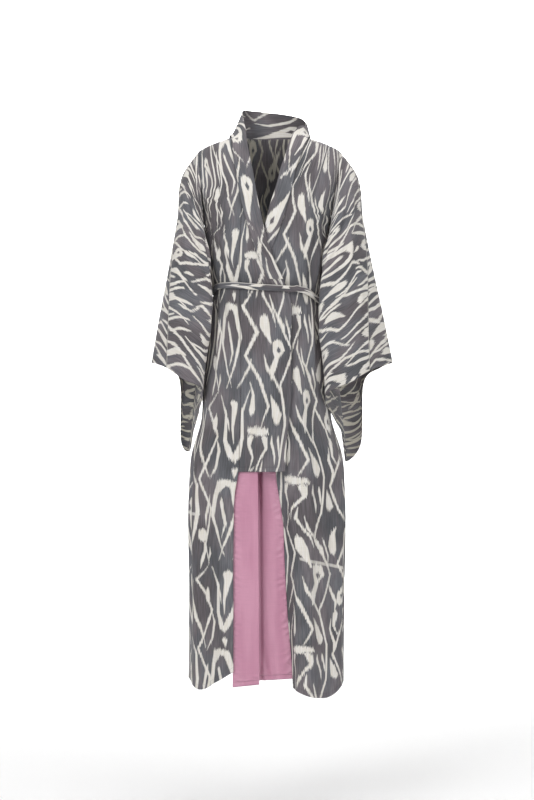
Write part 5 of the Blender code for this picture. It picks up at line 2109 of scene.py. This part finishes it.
@dataclass
class Belt:
    """The narrow tie round the waist, its knot at the back and its two hanging ends."""

    width: float = 0.015
    thickness: float = 0.0034
    out: float = 0.0026
    steps: int = 240
    round_steps: int = 24
    turn_step: float = 0.01
    deep_power: float = 0.7
    tall_power: float = 0.45
    light_angles: tuple[Span, Span] = ((-96.0, -82.0), (64.0, 48.0))
    light_at: float = 0.20
    light_reach: float = 0.30
    kink: float = 0.0022
    kink_at: float = 29.0
    kink_spread: float = 2.6
    knot_size: Triple = (0.030, 0.014, 0.024)
    knot_laid: Triple = (0.05, 0.1, 0.08)
    knot_faces: tuple[int, int] = (120, 80)
    loop_crease: Triple = (0.24, 8.5, 3.0)
    wrap_ribs: Span = (0.05, 26.0)
    pinch: Triple = (0.80, 0.20, 0.10)
    wrap_half: float = 0.40
    wrap_edge: float = 0.03
    wrap_lean: float = 0.18
    knot_power: float = 0.7
    join_reach: float = 1e-5
    end_width: float = 0.015
    end_thickness: float = 0.0026
    end_out_top: float = 0.012
    end_out_low: float = 0.006
    end_spare: float = 0.002
    end_settle: float = 0.6
    short_end: Triple = (-0.012, -0.012, 0.10)
    long_end: Triple = (0.012, 0.014, 0.14)
    loop_start: float = 0.185
    end_start: float = 0.2

    def band(self, u: Array, v: Array) -> Array:
        """The band's skin.

        Args:
            u: Shares of the way round the waist.
            v: Shares of the way round its flat section.

        Returns:
            Points.
        """
        angle = -math.pi + 2.0 * math.pi * u
        base = PLAIN_FORM.point(angle, FORM.belt_z(angle))
        after, before = (PLAIN_FORM.point(angle + step, FORM.belt_z(angle + step))
                         for step in (self.turn_step, -self.turn_step))
        ahead = unit(after - before)
        out = unit(np.cross(ahead, np.array([0.0, 0.0, 1.0])))
        out *= np.sign((out * base).sum(-1, keepdims=True))
        high = np.cross(out, ahead)
        high *= np.sign(high[..., 2:])
        turn = 2.0 * math.pi * v
        deep = signed_power(np.cos(turn), self.deep_power) / 2.0
        tall = signed_power(np.sin(turn), self.tall_power) / 2.0
        middle = base + out * (self.out + PART_BELT / 2.0)
        raised = self.kink * np.exp(-((np.degrees(angle) - self.kink_at) / self.kink_spread) ** 2)
        tall = tall * self.width + raised
        return middle + out * (deep * self.thickness)[..., None] + high * tall[..., None]

    def build(self, cloth: Material) -> None:
        """Args:
            cloth: The belt's cloth.
        """
        item, length = self.loop(cloth)
        settle(item, "belt")
        round(area_of(item) / length, 4)
        settle(self.knot(cloth), "belt_knot")
        self.end("belt_end_short", *self.short_end, cloth)
        self.end("belt_end_long", *self.long_end, cloth)

    def loop(self, cloth: Material) -> tuple[Object, float]:
        """The closed band.

        Args:
            cloth: Its cloth.

        Returns:
            The object and its length.
        """
        grid = Grid.start("belt_cloth", self.steps, self.round_steps)
        u, v = shares_of(self.steps, self.round_steps)
        points = self.band(u, v)
        along, round_it = spread_of(points, 0), spread_of(points, 1)
        grid.move(points)
        grid.map_cloth(np.stack([round_it + self.loop_start, along], -1))
        for kind in (Edge.SEAM, Edge.HEM):
            grid.write(kind.value, np.full(u.shape, FAR))
        degrees = FULL_TURN * u - FULL_TURN / 2.0
        shown = smooth(*self.light_angles[0], degrees) * smooth(*self.light_angles[1], degrees)
        grid.write(LIGHT_LINE, shown * np.clip(1.0 - np.abs(v - self.light_at) / self.light_reach, 0.0, 1.0))
        edit_all(lambda: bpy.ops.mesh.remove_doubles(threshold=self.join_reach),
                 lambda: bpy.ops.mesh.normals_make_consistent(inside=False))
        grid.item.data.materials.append(cloth)
        bpy.ops.object.shade_smooth()
        return grid.item, float(along[-1, 0])

    def knot(self, cloth: Material) -> Object:
        """The flat knot at the middle of the back: two folded loops and the turn that holds them.

        Args:
            cloth: Its cloth.

        Returns:
            The object.
        """
        z = float(FORM.belt_z(np.array(math.pi)))
        base = PLAIN_FORM.point(np.array(math.pi), np.array(z))
        wide, deep, tall = self.knot_size
        middle = (0.0, float(base[1]) + self.out + PART_BELT + SEAM_GAP + deep / 2.0, z)
        segments, rings = self.knot_faces
        deselect()
        bpy.ops.mesh.primitive_uv_sphere_add(segments=segments, ring_count=rings, radius=1.0, calc_uvs=True)
        item = primitive("belt_knot_cloth")
        over, start, along = self.knot_laid
        for spot in item.data.uv_layers[0].data:
            spot.uv = (spot.uv[1] * over + start, spot.uv[0] * along)
        crease, up_rate, side_rate = self.loop_crease
        rib, rib_rate = self.wrap_ribs
        low, swell, flare = self.pinch
        for vertex in item.data.vertices:
            x, y, up = vertex.co
            aslant = x + self.wrap_lean * up
            wrap = 1.0 / (1.0 + math.exp((abs(aslant) - self.wrap_half) / self.wrap_edge))
            loops = 1.0 - crease * (1.0 - wrap) * (1.0 + math.cos(up_rate * up + side_rate * x)) / 2.0
            loops = loops * (1.0 - rib * wrap * math.cos(rib_rate * aslant))
            pinch = low + swell * wrap + flare * (1.0 - wrap) * abs(x)
            sign = [math.copysign(abs(part) ** self.knot_power, part) for part in (x, y, up)]
            vertex.co = (middle[0] + sign[0] * wide / 2.0,
                         middle[1] + sign[1] * deep / 2.0 * loops * (low + swell * wrap),
                         middle[2] + sign[2] * tall / 2.0 * pinch)
        for kind in (Edge.SEAM, Edge.HEM):
            hold(item, kind.value, np.full(len(item.data.vertices), FAR))
        item.data.materials.append(cloth)
        bpy.ops.object.shade_smooth()
        return item

    def end(self, node: str, start_x: float, drift: float, length: float, cloth: Material) -> None:
        """Makes one hanging end, a flat folded strip just below the knot.

        Args:
            node: The node it replaces.
            start_x: Where its middle starts.
            drift: How far it moves sideways on its way down.
            length: How long it hangs.
            cloth: Its cloth.
        """
        top = float(FORM.belt_z(np.array(math.pi))) - self.knot_size[2] / 2.0 - SEAM_GAP

        def surface(u: Array, v: Array) -> Array:
            """The end's outer face.

            Args:
                u: Shares of the way across.
                v: Shares of the way down.

            Returns:
                Points.
            """
            z = top - length * v
            x = start_x + drift * v + self.end_width * (u - 0.5)
            out = self.end_out_top - (self.end_out_top - self.end_out_low) * smooth(0.0, self.end_settle, v)
            return PLAIN_FORM.point(PLAIN_FORM.angle_at(x, z, -out, back=True), z, -out)

        Sheet(node, surface, 10, 60, (self.end_width + self.end_spare, length + self.end_spare),
              ("belt_knot_cloth",), flip=True, thickness=self.end_thickness,
              edges=Edges(Edge.FOLD, Edge.FOLD, Edge.FOLD, Edge.HEM),
              cut=Cut(self.end_width, across=self.end_start)).build(cloth)


@dataclass(frozen=True)
class Lamp:
    """One soft square light."""

    name: str
    place: Triple
    size: float
    power: float
    aim: Triple = (0.0, 0.0, -0.65)

    def build(self) -> None:
        """Makes the light, turned to what it lights."""
        light = bpy.data.lights.new(self.name, "AREA")
        light.size = self.size
        light.energy = self.power
        item = bpy.data.objects.new(self.name, light)
        item.location = self.place
        away = Vector(self.aim) - Vector(self.place)
        item.rotation_euler = away.to_track_quat("-Z", "Y").to_euler()
        bpy.context.scene.collection.objects.link(item)


@dataclass
class Studio:
    """Pale floor and backdrop, soft lights and the camera."""

    floor_z: float = -1.66
    wall_y: float = 6.2
    room: float = 14.0
    camera_z: float = -0.646
    camera_y: float = -4.5
    focal_mm: float = 83.0
    sensor_mm: float = 36.0
    daylight: float = 0.44
    floor_colour: tuple[float, ...] = (0.95, 0.95, 0.95, 1.0)
    lamps: tuple[Lamp, ...] = (
        Lamp("key", (-2.2, -3.2, 1.5), 1.8, 74.0),
        Lamp("fill", (2.4, -3.0, 0.5), 2.4, 32.0),
        Lamp("top", (0.2, -0.6, 2.8), 1.8, 48.0),
        Lamp("back_light", (0.0, 4.9, 1.6), 3.2, 260.0, (0.0, 6.2, -0.7)),
    )

    def build(self) -> None:
        """Makes the floor, backdrop, lights and camera."""
        scene = bpy.context.scene
        scene.view_settings.view_transform = "Standard"
        pale = bpy.data.materials.new("pale_floor")
        pale.use_nodes = True
        Wiring(pale.node_tree).fill(pale.node_tree.nodes["Principled BSDF"], {
            "Base Color": self.floor_colour, "Roughness": 0.95, "Specular IOR Level": 0.1})
        deselect()
        bpy.ops.mesh.primitive_plane_add(size=self.room, location=(0.0, 0.0, self.floor_z))
        floor = bpy.context.object
        floor.name = "floor"
        middle = (0.0, self.wall_y, self.floor_z + self.room / 2.0)
        bpy.ops.mesh.primitive_plane_add(size=self.room, location=middle, rotation=(math.pi / 2.0, 0.0, 0.0))
        backdrop = bpy.context.object
        backdrop.name = "backdrop"
        for item in (floor, backdrop):
            item.data.materials.append(pale)
        world = bpy.data.worlds.new("studio")
        world.use_nodes = True
        Wiring(world.node_tree).fill(world.node_tree.nodes["Background"], {
            "Color": (1.0, 1.0, 1.0, 1.0), "Strength": self.daylight})
        scene.world = world
        for lamp in self.lamps:
            lamp.build()
        lens = bpy.data.cameras.new("camera")
        lens.lens = self.focal_mm
        lens.sensor_fit = "VERTICAL"
        lens.sensor_height = self.sensor_mm
        lens.clip_end = 60.0
        camera = bpy.data.objects.new("camera", lens)
        camera.location = (0.0, self.camera_y, self.camera_z)
        camera.rotation_euler = (math.pi / 2.0, 0.0, 0.0)
        scene.collection.objects.link(camera)
        scene.camera = camera


def main() -> None:
    """Builds the robe piece by piece."""
    logging.basicConfig(level=logging.INFO, format="%(message)s")
    cloths = Cloths.made()
    Studio().build()
    PANELS.build(cloths)
    OverlapPanels().build(cloths)
    SatinStrips().build(cloths.satin)
    CollarBand().build(cloths.face)
    Sleeve(-1).build(cloths)
    Sleeve(1, falls=(-0.22, -0.36)).build(cloths)
    Belt().build(cloths.tie)


if __name__ == "__main__":
    main()
